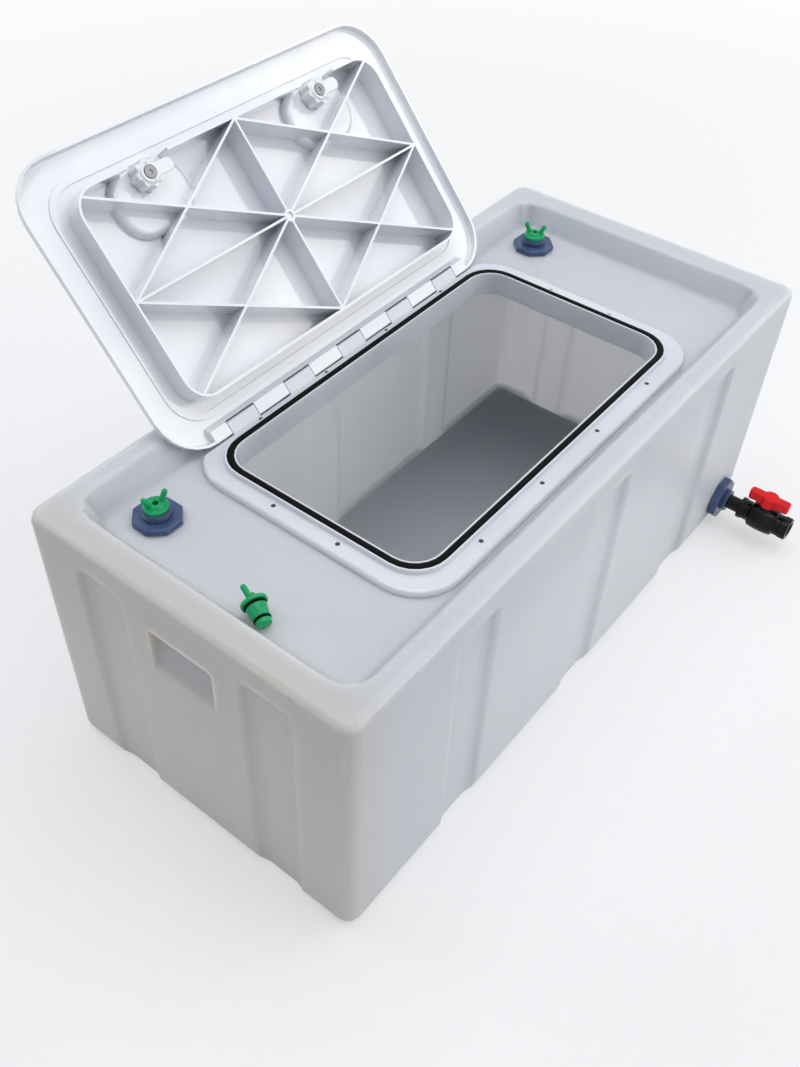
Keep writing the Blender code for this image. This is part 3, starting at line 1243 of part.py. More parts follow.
def valve_stem():
    """Stem up through the boss, z along the stem from the ball's centre: tang, shaft and square head."""
    foot = BALL_RADIUS - TANG_DEPTH
    top = BOSS_RISE + HANDLE_HUB_HEIGHT - STEM_COVER
    stem = cylinder("stem", STEM_RADIUS, BALL_RADIUS + GAP, top, SMALL_STEPS)
    tang = block("tang", (-TANG_WIDTH / 2, -STEM_RADIUS + GAP, foot),
                 (TANG_WIDTH / 2, STEM_RADIUS - GAP, BALL_RADIUS + LET_IN))
    return join(stem, tang)


def valve_handle():
    """Bar handle with a round hub, z = 0 at its underside, long way along Y."""
    half = HANDLE_LENGTH / 2
    wide = HANDLE_WIDTH / 2
    outline = rounded_outline(wide, half, wide - SKIM, steps=CUP_CORNER_STEPS)
    low = HANDLE_HUB_HEIGHT - HANDLE_HEIGHT
    handle = softened(prism("handle", outline, low, HANDLE_HUB_HEIGHT), HANDLE_ROUND, 1)
    top = HANDLE_HUB_HEIGHT + EDGE_BREAK
    hub = turned("hub", [(0.0, 0.0), (HANDLE_HUB_RADIUS, 0.0), (HANDLE_HUB_RADIUS, top - HANDLE_ROUND),
                         (HANDLE_HUB_RADIUS - HANDLE_ROUND, top), (0.0, top)], INNER_STEPS)
    join(handle, hub)
    bore_top = HANDLE_HUB_HEIGHT - STEM_COVER + EDGE_BREAK
    return cut(handle, cylinder("bore", STEM_RADIUS + GAP, -OVERCUT, bore_top, SMALL_STEPS))


def make_drain():
    navy = material("drain_plastic", (0.035, 0.05, 0.10), 0.4)
    black = material("valve_plastic", (0.02, 0.02, 0.022), 0.4)
    rubber = material("drain_rubber", (0.02, 0.02, 0.02), 0.7)
    white = material("seat_plastic", (0.85, 0.85, 0.82), 0.4)
    red = material("handle_plastic", (0.65, 0.02, 0.03), 0.3)
    place = drain_turn()
    finish(drain_connector(), "drain_connector", navy, place)
    nut = nut_body(DRAIN_NUT_FLATS, DRAIN_RADIUS + GAP, DRAIN_NUT_LENGTH)
    finish(nut, "drain_nut", navy, place @ Matrix.Translation((0.0, 0.0, GAP)))
    washer = gasket_body(DRAIN_RADIUS + GAP, DRAIN_FLANGE_RADIUS - EDGE_BREAK)
    inner = place @ Matrix.Translation((0.0, 0.0, -TANK_WALL - GASKET - GAP))
    finish(washer, "drain_gasket", rubber, inner)
    finish(drain_pipe(), "drain_pipe", black, place)
    centre = place @ Matrix.Translation((0.0, 0.0, VALVE_CENTRE))
    finish(valve_body(), "valve_body", black, centre)
    finish(valve_union(), "valve_union", black, centre)
    finish(valve_seat(-1), "valve_seat_inner", white, centre)
    finish(valve_seat(1), "valve_seat_outer", white, centre)
    spot = centre.translation
    upright = Matrix.Translation(spot)
    finish(valve_ball(), "valve_ball", white, centre, spot)
    finish(valve_stem(), "valve_stem", black, upright, spot)
    ring = ring_seal("ring", STEM_RADIUS + GAP + STEM_RING_SECTION, STEM_RING_SECTION,
                     BOSS_RISE - STEM_COLLAR / 2, SMALL_STEPS)
    finish(ring, "valve_stem_ring", rubber, upright, spot)
    finish(valve_handle(), "valve_handle", red, upright @ Matrix.Translation((0.0, 0.0, BOSS_RISE + GAP)),
           spot)


for thing in list(bpy.data.objects):
    bpy.data.objects.remove(thing)

make_tank()
make_frame()
make_seal()
make_screws()
make_rod()
make_lid()
make_latches()
make_ports()
make_loose_plug()
make_drain()
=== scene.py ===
# %% [markdown]
# # A live fish transport box, from model to picture
#
# The box is a hollow tank of milky polyethylene with a sunk deck. A glossy white hatch is screwed onto
# the deck, its lid stands open, two ports are stopped by green plugs, and a ball valve drains it.
#
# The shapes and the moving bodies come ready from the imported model. This file adds finishes, finer
# copies of the pieces that the eye rests on, a camera, a floor and lamps. It is meant to be read from
# top to bottom: each step says what the real thing is, how it could be made, and why this way was
# chosen. Lengths are in metres, and the named angles are in degrees.

import json
import math

import bpy
from mathutils import Matrix, Vector

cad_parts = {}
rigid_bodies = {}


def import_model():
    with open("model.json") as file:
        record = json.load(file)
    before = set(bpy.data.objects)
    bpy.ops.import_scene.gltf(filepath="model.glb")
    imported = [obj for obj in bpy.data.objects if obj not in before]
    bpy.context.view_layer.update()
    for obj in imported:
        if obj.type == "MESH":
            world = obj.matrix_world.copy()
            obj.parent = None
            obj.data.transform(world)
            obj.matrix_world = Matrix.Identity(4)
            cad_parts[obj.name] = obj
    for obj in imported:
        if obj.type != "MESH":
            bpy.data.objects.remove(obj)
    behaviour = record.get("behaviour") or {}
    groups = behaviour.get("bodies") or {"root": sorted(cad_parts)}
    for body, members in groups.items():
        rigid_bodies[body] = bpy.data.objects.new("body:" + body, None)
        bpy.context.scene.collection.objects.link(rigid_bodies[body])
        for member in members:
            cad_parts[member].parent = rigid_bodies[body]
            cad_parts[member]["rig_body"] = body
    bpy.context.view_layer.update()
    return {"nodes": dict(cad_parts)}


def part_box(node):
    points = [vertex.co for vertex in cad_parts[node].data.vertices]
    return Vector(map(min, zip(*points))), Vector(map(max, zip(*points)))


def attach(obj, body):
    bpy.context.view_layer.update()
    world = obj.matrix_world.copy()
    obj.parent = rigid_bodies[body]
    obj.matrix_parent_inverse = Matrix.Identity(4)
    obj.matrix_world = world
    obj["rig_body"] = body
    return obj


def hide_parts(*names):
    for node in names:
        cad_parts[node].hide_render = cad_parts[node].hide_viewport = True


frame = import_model()

# %% [markdown]
# ## The camera
#
# The photograph was taken standing at the box's near left corner and looking down on it. The place and
# the turn of the camera could be tried by eye, but here they come from lining up the straight edges of
# the box with those of the picture. The shift moves the frame without turning the camera, because the
# photograph was cropped a little off its own middle.

# %% Camera at the photograph's place
EYE_PLACE = (-0.9036, -0.5790, 1.1892)
EYE_TURN = (44.133, -1.156, -51.272)
LENS = 37.15
SHIFT_X = 0.0202
SHIFT_Y = 0.0177

eye = bpy.data.objects.new("eye", bpy.data.cameras.new("eye"))
bpy.context.scene.collection.objects.link(eye)
eye.location = EYE_PLACE
eye.rotation_euler = [math.radians(angle) for angle in EYE_TURN]
eye.data.lens = LENS
eye.data.shift_x = SHIFT_X
eye.data.shift_y = SHIFT_Y
bpy.context.scene.camera = eye
print("camera", tuple(eye.location))

# %% [markdown]
# ## Sums on sockets
#
# A finish is a small graph of nodes. Written as Python, a sum such as `0.3 + 0.1 * cloud` reads more
# easily than four lines of node links, so one small class wraps a socket and turns each operator into a
# Math node. The reflected forms are there so that a plain number may stand on either side.

# %% A socket that does sums
class Wire:
    """An output socket that can be added to, multiplied and so on."""

    def __init__(self, tree, socket):
        self.tree = tree
        self.socket = socket

    def feed(self, target, value):
        if isinstance(value, Wire):
            self.tree.links.new(value.socket, target)
        else:
            target.default_value = value

    def sum(self, operation, first, second, clamp=False):
        node = self.tree.nodes.new("ShaderNodeMath")
        node.operation = operation
        node.use_clamp = clamp
        self.feed(node.inputs[0], first)
        self.feed(node.inputs[1], second)
        return Wire(self.tree, node.outputs[0])

    def __add__(self, other):
        return self.sum("ADD", self, other)

    def __radd__(self, other):
        return self.sum("ADD", other, self)

    def __sub__(self, other):
        return self.sum("SUBTRACT", self, other)

    def __rsub__(self, other):
        return self.sum("SUBTRACT", other, self)

    def __mul__(self, other):
        return self.sum("MULTIPLY", self, other)

    def __rmul__(self, other):
        return self.sum("MULTIPLY", other, self)

    def above(self, level, reach):
        """0 below level, rising to 1 over reach."""
        return self.sum("DIVIDE", self - level, reach, clamp=True)


# %% [markdown]
# ## A finish
#
# Every material here starts the same way: a Principled shader with constants set straight on its
# sockets, and the piece's own Object coordinates in metres, so that a grain keeps its real size on every
# piece. Any other node comes from one method, which takes its type, its settings and its sockets.

# %% The finish class
class Finish:
    """One material being built."""

    def __init__(self, name, colour, roughness, constants=None):
        self.material = bpy.data.materials.new(name)
        self.material.use_nodes = True
        self.tree = self.material.node_tree
        self.shader = self.tree.nodes["Principled BSDF"]
        self.shader.inputs["Base Color"].default_value = (*colour, 1.0)
        self.shader.inputs["Roughness"].default_value = roughness
        for socket, value in (constants or {}).items():
            self.shader.inputs[socket].default_value = value
        self.spot = self.node("ShaderNodeTexCoord", output="Object")

    def node(self, kind, settings=None, sockets=None, output=0):
        made = self.tree.nodes.new(kind)
        for name, value in (settings or {}).items():
            setattr(made, name, value)
        for name, value in (sockets or {}).items():
            if isinstance(value, Wire):
                self.tree.links.new(value.socket, made.inputs[name])
            else:
                made.inputs[name].default_value = value
        return Wire(self.tree, made.outputs[output])

    def noise(self, scale, detail=2.0, roughness=0.5, stretch=None):
        """Cloudy values about 0.5; scale counts blobs in a metre, stretch scales each axis."""
        spot = self.spot
        if stretch:
            spot = self.node("ShaderNodeMapping", None, {"Vector": self.spot, "Scale": stretch})
        return self.node("ShaderNodeTexNoise", None,
                         {"Vector": spot, "Scale": scale, "Detail": detail, "Roughness": roughness})

    def place(self, axis):
        """Where the surface lies along one axis of the object, in metres."""
        return self.node("ShaderNodeSeparateXYZ", None, {"Vector": self.spot}, axis)

    def mix(self, factor, first, second):
        """A colour between two colours; either may be plain numbers or come from another mix."""
        ends = [value if isinstance(value, Wire) else (*value, 1.0) for value in (first, second)]
        return self.node("ShaderNodeMix", {"data_type": "RGBA"}, {0: factor, 6: ends[0], 7: ends[1]}, 2)

    def colour(self, value):
        self.tree.links.new(value.socket, self.shader.inputs["Base Color"])

    def rough(self, value):
        self.tree.links.new(value.socket, self.shader.inputs["Roughness"])

    def relief(self, height, depth):
        """Raises the surface by a height field; depth is in metres at a height of 1."""
        bump = self.node("ShaderNodeBump", None, {"Height": height, "Distance": depth, "Strength": 1.0})
        self.tree.links.new(bump.socket, self.shader.inputs["Normal"])


# %% [markdown]
# ## Milky polyethylene
#
# The tank is moulded from natural polyethylene. Light enters the wall and comes out again a few
# millimetres away, which is why the edges glow and the shadows inside are soft. A plain white colour
# would look like painted card, so the shader scatters light below the surface. Slow clouds vary the
# colour as the wall's thickness does, and the end near the camera, which is turned away from the lamps,
# is painted a little darker and warmer: painted shade. Fine scuffs vary the gloss, and a low relief
# breaks the highlights.

# %% Tank finish
END_SHADE_FROM = -0.40
END_SHADE_REACH = 0.07


def cloudy_polyethylene():
    finish = Finish("cloudy_polyethylene", (0.62, 0.64, 0.68), 0.40,
                    {"Subsurface Weight": 1.0, "Subsurface Radius": (1.0, 0.95, 0.88),
                     "Subsurface Scale": 0.03, "IOR": 1.5})
    cloud = finish.noise(5.0, 3.0).above(0.3, 0.4)
    body = finish.mix(cloud, (0.645, 0.670, 0.715), (0.690, 0.710, 0.745))
    # Painted shade: the end near the camera, turned away from the lamps, is painted darker and warmer.
    painted_end_shade = (END_SHADE_FROM - finish.place(0)).above(0.0, END_SHADE_REACH)
    finish.colour(finish.mix(painted_end_shade, body, (0.640, 0.580, 0.525)))
    scuffs = finish.noise(14.0, 4.0, 0.65, (1.0, 1.0, 14.0)).above(0.56, 0.2)
    finish.rough(0.36 + 0.10 * finish.noise(30.0, 3.0) + 0.10 * scuffs)
    finish.relief(finish.noise(9.0, 2.0) * 0.7 + finish.noise(420.0, 2.0) * 0.05, 0.0012)
    return finish.material


TANK_FINISH = cloudy_polyethylene()
print(TANK_FINISH.name)

# %% [markdown]
# ## Glossy hatch plastic
#
# The hatch and its lid are injection moulded and much glossier than the tank: their flat faces mirror
# the sky in soft bright patches on a faintly lilac white. Those patches are also painted into the colour
# as slow clouds of a lighter white: a painted reflection. A low roughness with a very shallow ripple
# gives the slightly wavy reflections of a moulded panel. A clear coat over the colour sets how strongly a
# piece mirrors, most of all on the lid. Lid and frame are one plastic, but the lid's whites are painted
# lighter than the frame's: painted light, because the lid stands in more light. The latch handles and
# nuts are a similar white with more wear.

# %% Hatch and latch finishes
def glossy_white(name, deep, light, wear, coat, coat_index):
    finish = Finish(name, light, 0.14, {"IOR": 1.5, "Coat Weight": coat, "Coat IOR": coat_index,
                                        "Coat Roughness": 0.03})
    # Painted reflection: slow clouds between the deep and the light white stand for the sky mirrored in
    # the faces.
    tone = finish.noise(7.0, 2.0).above(0.36, 0.26)
    finish.colour(finish.mix(tone, deep, light))
    rubs = finish.noise(60.0, 5.0, 0.7, (1.0, 6.0, 1.0)).above(0.58, 0.15)
    finish.rough(0.13 + 0.06 * finish.noise(25.0, 3.0) + wear * rubs)
    finish.relief(finish.noise(16.0, 2.0), 0.0008)
    return finish.material


# Painted light and shade: lid and frame are one plastic, and the lid's whites are painted lighter because
# it stands in more light.
HATCH_FINISH = glossy_white("glossy_hatch", (0.655, 0.665, 0.725), (0.720, 0.730, 0.780),
                            wear=0.10, coat=0.3, coat_index=1.5)
LID_FINISH = glossy_white("glossy_lid_painted_lighter", (0.720, 0.735, 0.785), (0.800, 0.810, 0.840),
                          wear=0.06, coat=1.0, coat_index=1.62)
LATCH_FINISH = glossy_white("worn_latch", (0.740, 0.755, 0.800), (0.820, 0.830, 0.850),
                            wear=0.22, coat=0.5, coat_index=1.5)
print(HATCH_FINISH.name, LID_FINISH.name, LATCH_FINISH.name)

# %% [markdown]
# ## Rubber, steel and the coloured fittings
#
# The seal and the rings are black rubber: dull, with a fine grain and a breath of dust. The screws are
# steel with turning marks. The latch screws are a dull dark steel, and the frame screws are painted
# nearly
# black: painted shade, for the shadow in the countersunk holes they sit in. The port fittings are navy,
# the plugs a clear green, the valve black, its handle red and its ball ivory. All five are hard plastic,
# so one recipe with a grain, rubbed patches and a small change of shade serves them all.

# %% Rubber, steel and hard plastics
FINE_GRAIN = 0.00004


def black_rubber():
    finish = Finish("black_rubber", (0.003, 0.003, 0.0035), 0.5, {"Specular IOR Level": 0.07})
    dust = finish.noise(90.0, 4.0, 0.65).above(0.58, 0.25)
    finish.colour(finish.mix(dust * 0.2, (0.0025, 0.0025, 0.003), (0.04, 0.04, 0.042)))
    finish.rough(0.42 + 0.25 * finish.noise(160.0, 3.0))
    finish.relief(finish.noise(1800.0, 2.0), FINE_GRAIN)
    return finish.material


def turned_steel(name, deep, light):
    finish = Finish(name, light, 0.3, {"Metallic": 1.0})
    marks = finish.noise(900.0, 3.0, 0.6)
    finish.colour(finish.mix(marks, deep, light))
    finish.rough(0.22 + 0.22 * marks)
    finish.relief(marks, 0.00003)
    return finish.material


def hard_plastic(name, deep, light, roughness, shine=0.5):
    """Moulded plastic between a deep and a light shade of one colour."""
    finish = Finish(name, light, roughness, {"IOR": 1.48, "Specular IOR Level": shine})
    tone = finish.noise(45.0, 3.0).above(0.3, 0.4)
    finish.colour(finish.mix(tone, deep, light))
    rubs = finish.noise(220.0, 4.0, 0.7, (1.0, 1.0, 0.3)).above(0.57, 0.2)
    finish.rough(roughness + 0.08 * finish.noise(120.0, 2.0) + 0.12 * rubs)
    finish.relief(finish.noise(1300.0, 2.0), FINE_GRAIN)
    return finish.material


RUBBER_FINISH = black_rubber()
STEEL_FINISH = turned_steel("turned_steel", (0.52, 0.52, 0.53), (0.70, 0.70, 0.71))
DULL_FINISH = turned_steel("dull_steel", (0.15, 0.15, 0.16), (0.26, 0.26, 0.28))
# Painted shade: the frame screws are painted nearly black for the shadow in their countersunk holes.
SHADED_SCREW_FINISH = turned_steel("screw_painted_shade", (0.06, 0.06, 0.065), (0.13, 0.13, 0.14))
NAVY_FINISH = hard_plastic("navy_fitting", (0.040, 0.068, 0.150), (0.062, 0.100, 0.205),
                           roughness=0.24, shine=0.35)
GREEN_FINISH = hard_plastic("green_plug", (0.001, 0.29, 0.095), (0.003, 0.40, 0.140),
                            roughness=0.20, shine=0.3)
BLACK_FINISH = hard_plastic("black_valve", (0.0025, 0.0025, 0.003), (0.006, 0.006, 0.008),
                            roughness=0.16, shine=0.2)
RED_FINISH = hard_plastic("red_handle", (0.66, 0.002, 0.006), (0.80, 0.004, 0.010),
                          roughness=0.20, shine=0.25)
IVORY_FINISH = hard_plastic("ivory_seat", (0.70, 0.69, 0.64), (0.80, 0.79, 0.75), roughness=0.35)
print(len(bpy.data.materials), "materials so far")

# %% [markdown]
# ## Dressing the model's own pieces
#
# A node whose shape is right keeps its mesh and only changes its material. The names say what each piece
# is, so one short list of name beginnings is enough to give every node its finish.

# %% Finishes onto the nodes
FINISH_BY_NAME = [("tank", TANK_FINISH), ("hatch_frame", HATCH_FINISH), ("hatch_seal", RUBBER_FINISH),
                  ("lid", LID_FINISH), ("latch_handle", LATCH_FINISH), ("latch_cam", LATCH_FINISH),
                  ("latch_screw", DULL_FINISH), ("latch_ring", RUBBER_FINISH),
                  ("frame_screw", SHADED_SCREW_FINISH), ("hinge_rod", STEEL_FINISH),
                  ("port_gasket", RUBBER_FINISH), ("port", NAVY_FINISH),
                  ("plug_ring", RUBBER_FINISH), ("plug", GREEN_FINISH),
                  ("drain_gasket", RUBBER_FINISH), ("drain_pipe", BLACK_FINISH), ("drain", NAVY_FINISH),
                  ("valve_handle", RED_FINISH), ("valve_seat", IVORY_FINISH),
                  ("valve_ball", IVORY_FINISH), ("valve_stem_ring", RUBBER_FINISH),
                  ("valve", BLACK_FINISH)]


def finish_for(name):
    """The first entry whose beginning fits the name."""
    return next(finish for start, finish in FINISH_BY_NAME if name.startswith(start))


for name, node in frame["nodes"].items():
    node.data.materials.clear()
    node.data.materials.append(finish_for(name))
print("dressed", len(frame["nodes"]), "nodes")

# %% [markdown]
# ## Hand tools
#
# The finer pieces are modelled as by hand in the window: one thing selected, one operator at a time,
# modifiers applied as soon as they are set. Writing those few habits down once keeps the later cells
# short. A piece is made about its own middle, then moved to its place, and the place is put into the mesh
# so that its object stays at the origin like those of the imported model.

# %% Selecting, modifying and placing
SHARP = 32.0


def only(piece):
    """Makes a piece the only selected one, because an operator acts on all that is selected."""
    bpy.ops.object.select_all(action="DESELECT")
    piece.select_set(True)
    bpy.context.view_layer.objects.active = piece
    return piece


def modified(piece, kind, **settings):
    """Adds a modifier, sets it and puts its result into the mesh."""
    step = piece.modifiers.new(kind, kind)
    for name, value in settings.items():
        setattr(step, name, value)
    only(piece)
    bpy.ops.object.modifier_apply(modifier=step.name)
    return piece


def fitted(piece, tool, operation):
    """Cuts a piece with another solid, or joins the two, and removes the other."""
    modified(piece, "BOOLEAN", operation=operation, solver="EXACT", object=tool)
    bpy.data.objects.remove(tool)
    return piece


def gathered(piece, other):
    """Puts the mesh of another piece into this one as it is, without a Boolean."""
    only(piece)
    other.select_set(True)
    bpy.ops.object.join()
    return piece


def bevelled(piece, width, segments, sharp=SHARP):
    """Rounds the edges that are sharper than one angle, as a mould does."""
    return modified(piece, "BEVEL", width=width, segments=segments, limit_method="ANGLE",
                    angle_limit=math.radians(sharp))


def shaded(piece, smooth=SHARP):
    """Shades a piece smooth, except across edges that are sharper than one angle."""
    only(piece)
    bpy.ops.object.shade_smooth_by_angle(angle=math.radians(smooth))
    return piece


def rounded(piece, width, segments=2, sharp=SHARP, smooth=SHARP):
    """Bevels and shades a piece so that the broad faces keep looking flat."""
    shaded(bevelled(piece, width, segments, sharp), smooth)
    return modified(piece, "WEIGHTED_NORMAL", keep_sharp=True)


def placed(piece, place):
    """Moves a piece and leaves the move in its mesh."""
    piece.matrix_world = place
    only(piece)
    bpy.ops.object.transform_apply(location=True, rotation=True, scale=True)
    return piece


def turned(degrees, axis):
    """A turn about one axis through the origin."""
    return Matrix.Rotation(math.radians(degrees), 4, axis)


def twin(piece, name):
    """A copy with its own mesh."""
    made = piece.copy()
    made.data = piece.data.copy()
    made.name = name
    bpy.context.scene.collection.objects.link(made)
    return made


def handed_over(piece, body, slot, finish, *nodes):
    """Gives a finished piece its material, the body it rides on and the CAD nodes it stands for."""
    piece.data.materials.clear()
    piece.data.materials.append(finish)
    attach(piece, body)
    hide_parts(*nodes)
    piece.data.calc_loop_triangles()
    print(piece.name, "on", body, "with", len(piece.data.loop_triangles), "triangles")
    return piece


# %% [markdown]
# ## Turning on the lathe
#
# Tubes, plugs, rings and screws are round, and a round thing is quickest made the way a lathe makes it: a
# half outline, spun once round the axis. One point is extruded from corner to corner of the outline, spun
# through a full turn, and the seam and the poles are merged so that the skin is closed.

# %% A lathe
LATHE_STEPS = 48
MERGE = 1e-6


def lathe(name, profile, steps=LATHE_STEPS):
    """Turns an outline of (radius, height) corners round Z; off the axis it ends where it starts."""
    bpy.ops.object.select_all(action="DESELECT")
    bpy.ops.mesh.primitive_plane_add(size=0.01)
    piece = bpy.context.object
    piece.name = name
    bpy.ops.object.mode_set(mode="EDIT")
    bpy.ops.mesh.select_mode(type="VERT")
    bpy.ops.mesh.select_all(action="SELECT")
    bpy.ops.mesh.merge(type="CENTER")
    bpy.ops.transform.translate(value=(profile[0][0], 0.0, profile[0][1]))
    for before, after in zip(profile, profile[1:]):
        step = (after[0] - before[0], 0.0, after[1] - before[1])
        bpy.ops.mesh.extrude_region_move(TRANSFORM_OT_translate={"value": step})
    bpy.ops.mesh.select_all(action="SELECT")
    bpy.ops.mesh.spin(steps=steps, angle=2 * math.pi, center=(0.0, 0.0, 0.0), axis=(0.0, 0.0, 1.0))
    bpy.ops.mesh.select_all(action="SELECT")
    bpy.ops.mesh.remove_doubles(threshold=MERGE)
    bpy.ops.mesh.normals_make_consistent(inside=False)
    bpy.ops.object.mode_set(mode="OBJECT")
    return piece


def pin(name, radius, low, high, steps=LATHE_STEPS):
    """A plain round bar, used as a cutter or joined to something."""
    return lathe(name, [(0.0, low), (radius, low), (radius, high), (0.0, high)], steps)


# %% [markdown]
# ## Picking faces and edges
#
# In the window faces and edges are clicked. Here they are picked by where they lie or which way they
# look, which keeps working when a size changes. A block with rounded corners is made this way.

# %% Faces, edges and a rounded block
def nothing_selected(piece, kind):
    """Clears the selection in one of the selection modes of edit mode."""
    only(piece)
    bpy.ops.object.mode_set(mode="EDIT")
    bpy.ops.mesh.select_mode(type=kind)
    bpy.ops.mesh.select_all(action="DESELECT")
    bpy.ops.object.mode_set(mode="OBJECT")


def faces_facing(piece, direction):
    """Goes to edit mode with only the faces that look one way selected."""
    nothing_selected(piece, "FACE")
    for face in piece.data.polygons:
        face.select = face.normal.dot(direction) > 0.9
    bpy.ops.object.mode_set(mode="EDIT")


def edges_rounded(piece, test, offset, segments):
    """Rounds only the edges whose two ends pass a test."""
    nothing_selected(piece, "EDGE")
    for edge in piece.data.edges:
        edge.select = test(*[piece.data.vertices[corner].co for corner in edge.vertices])
    bpy.ops.object.mode_set(mode="EDIT")
    bpy.ops.mesh.bevel(offset=offset, segments=segments)
    bpy.ops.object.mode_set(mode="OBJECT")


def upright(first, second):
    """Whether an edge between two corners of a block stands up."""
    return abs(first.z - second.z) > MERGE


def stock(length, width, low, high):
    """A block of plain stock about Z, to be shaped further."""
    bpy.ops.object.select_all(action="DESELECT")
    bpy.ops.mesh.primitive_cube_add(size=1.0, location=(0.0, 0.0, (low + high) / 2),
                                    scale=(length, width, high - low))
    return placed(bpy.context.object, bpy.context.object.matrix_world.copy())


def oval_block(half_x, half_y, corner, low, high, foot_round):
    """A block with round upright corners and a rounded foot."""
    piece = stock(2 * half_x, 2 * half_y, low, high)
    edges_rounded(piece, upright, corner, 12)
    edges_rounded(piece, lambda first, second: max(first.z, second.z) < low + MERGE, foot_round, 6)
    return piece


# %% [markdown]
# ## What the open lid still lacks
#
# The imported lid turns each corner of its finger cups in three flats, and its hub stands open below. The
# photograph shows smooth oval bowls behind the cups and a closed hub, so these are modelled as they lie
# in the closed lid and turned back about the hinge. The next step joins them on to the lid's copy.

# %% Hub floor and finger bowls
DECK = 0.350
HINGE = Vector((0.0, 0.172, 0.362))
LID_STANDS = -131.0
LID_OPEN = Matrix.Translation(HINGE) @ turned(LID_STANDS, "X") @ Matrix.Translation(-HINGE)
LATCH_PLACES = {"left": (-0.145, -0.115, DECK), "right": (0.145, -0.115, DECK)}
BOWL_ASIDE = 0.0025
BOWL_BEYOND = 0.022
BOWL_HALF_X = 0.0545
BOWL_HALF_Y = 0.0420
BOWL_CORNER = 0.0380
BOWL_WALL = 0.0048


def finger_bowl():
    """A hollow round bowl about its own middle, open where the latch nut stands."""
    bowl = oval_block(BOWL_HALF_X, BOWL_HALF_Y, BOWL_CORNER, 0.0089, 0.0220, 0.0080)
    inside = oval_block(BOWL_HALF_X - BOWL_WALL, BOWL_HALF_Y - BOWL_WALL, BOWL_CORNER - BOWL_WALL,
                        0.0123, 0.0260, 0.0028)
    fitted(bowl, inside, "DIFFERENCE")
    nut_room = placed(pin("nut room", 0.0186, 0.0080, 0.0130),
                      Matrix.Translation((-BOWL_ASIDE, -BOWL_BEYOND, 0.0)))
    return fitted(bowl, nut_room, "DIFFERENCE")


def lid_filling():
    """The floor of the hub and both bowls as one mesh, in the open lid."""
    filling = pin("filling", 0.0052, -0.0104, -0.0080, 12)
    for x, y, _ in LATCH_PLACES.values():
        bowl_place = Matrix.Translation((x + BOWL_ASIDE, y + BOWL_BEYOND, 0.0))
        gathered(filling, placed(finger_bowl(), bowl_place))
    return placed(filling, LID_OPEN @ Matrix.Translation((0.0, 0.0, DECK)))


# %% [markdown]
# ## Finer copies of the mouldings
#
# Tank, frame, lid, seal, latch handles and the octagonal nuts have the right shape already, but a moulded
# edge is never knife-sharp: it catches a thin line of light. Each of them is copied, its loose triangles
# are merged into whole faces, and a narrow bevel follows every sharp edge. A subdivision surface would
# round them too, but it would also pull the flat faces out of their planes.

# %% Merged and softened copies
def refined(name, slot, width, segments=2, sharp=SHARP, smooth=SHARP, filling=None):
    """Copies a node's mesh, joins a filling on, rounds its edges and lets it stand for the node."""
    node = frame["nodes"][name]
    piece = bpy.data.objects.new("fine_" + name, node.data.copy())
    bpy.context.scene.collection.objects.link(piece)
    only(piece)
    bpy.ops.mesh.customdata_custom_splitnormals_clear()
    bpy.ops.object.mode_set(mode="EDIT")
    bpy.ops.mesh.select_all(action="SELECT")
    bpy.ops.mesh.remove_doubles(threshold=1e-5)
    bpy.ops.mesh.dissolve_limited(angle_limit=math.radians(0.3))
    bpy.ops.object.mode_set(mode="OBJECT")
    if filling:
        fitted(piece, filling, "UNION")
    rounded(piece, width, segments, sharp, smooth)
    return handed_over(piece, node["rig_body"], slot, node.data.materials[0], name)


refined("tank", "tank_plastic", 0.0012, sharp=60.0, smooth=52.0)
refined("hatch_frame", "hatch_plastic", 0.0004, sharp=52.0, smooth=50.0)
refined("hatch_seal", "seal_rubber", 0.0003, segments=1, sharp=50.0)
refined("lid", "lid_plastic", 0.0004, sharp=52.0, smooth=50.0, filling=lid_filling())
for word in ("left", "right"):
    refined("latch_handle_" + word, "lid_plastic", 0.0006, sharp=35.0)
    refined("port_nut_" + word, "navy_plastic", 0.0004)
refined("drain_nut", "navy_plastic", 0.0005)

# %% [markdown]
# ## Countersunk screws
#
# Twelve small screws hold the frame to the deck. Each has a flat head level with the frame and a tapered
# cross recess. The screw is turned on the lathe and the cross is cut by a bar whose foot is narrower than
# its top, once along and once across. It is modelled once and copied to the place of each packed screw.

# %% One frame screw, copied twelve times
FRAME_TOP = 0.3575
FRAME_SCREWS = 12
SCREW_POINT = -0.0160
SCREW_SHANK = 0.0015
SCREW_HEAD = 0.0029
HEAD_LEVEL = -0.0002


def tapered_bar(length, width, low, high, foot):
    """A cutter with a foot smaller than its top."""
    bar = stock(length, width, low, high)
    faces_facing(bar, Vector((0.0, 0.0, -1.0)))
    bpy.ops.transform.resize(value=(foot, foot, 1.0))
    bpy.ops.object.mode_set(mode="OBJECT")
    return bar


screw = lathe("screw", [(0.0, SCREW_POINT), (0.0004, SCREW_POINT), (SCREW_SHANK, -0.0138),
                        (SCREW_SHANK, -0.0018), (SCREW_HEAD, HEAD_LEVEL), (0.0, HEAD_LEVEL)], 24)
for degrees in (0.0, 90.0):
    bar = placed(tapered_bar(0.0040, 0.0009, -0.0015, 0.0005, 0.45), turned(degrees, "Z"))
    fitted(screw, bar, "DIFFERENCE")
rounded(screw, 0.00008, 1)
for number in range(1, FRAME_SCREWS + 1):
    node = f"frame_screw_{number:02d}"
    low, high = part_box(node)
    middle = (low + high) / 2
    copy = placed(twin(screw, "fine_" + node), Matrix.Translation((middle.x, middle.y, FRAME_TOP)))
    handed_over(copy, "tank_body", "steel", SHADED_SCREW_FINISH, node)
bpy.data.objects.remove(screw)

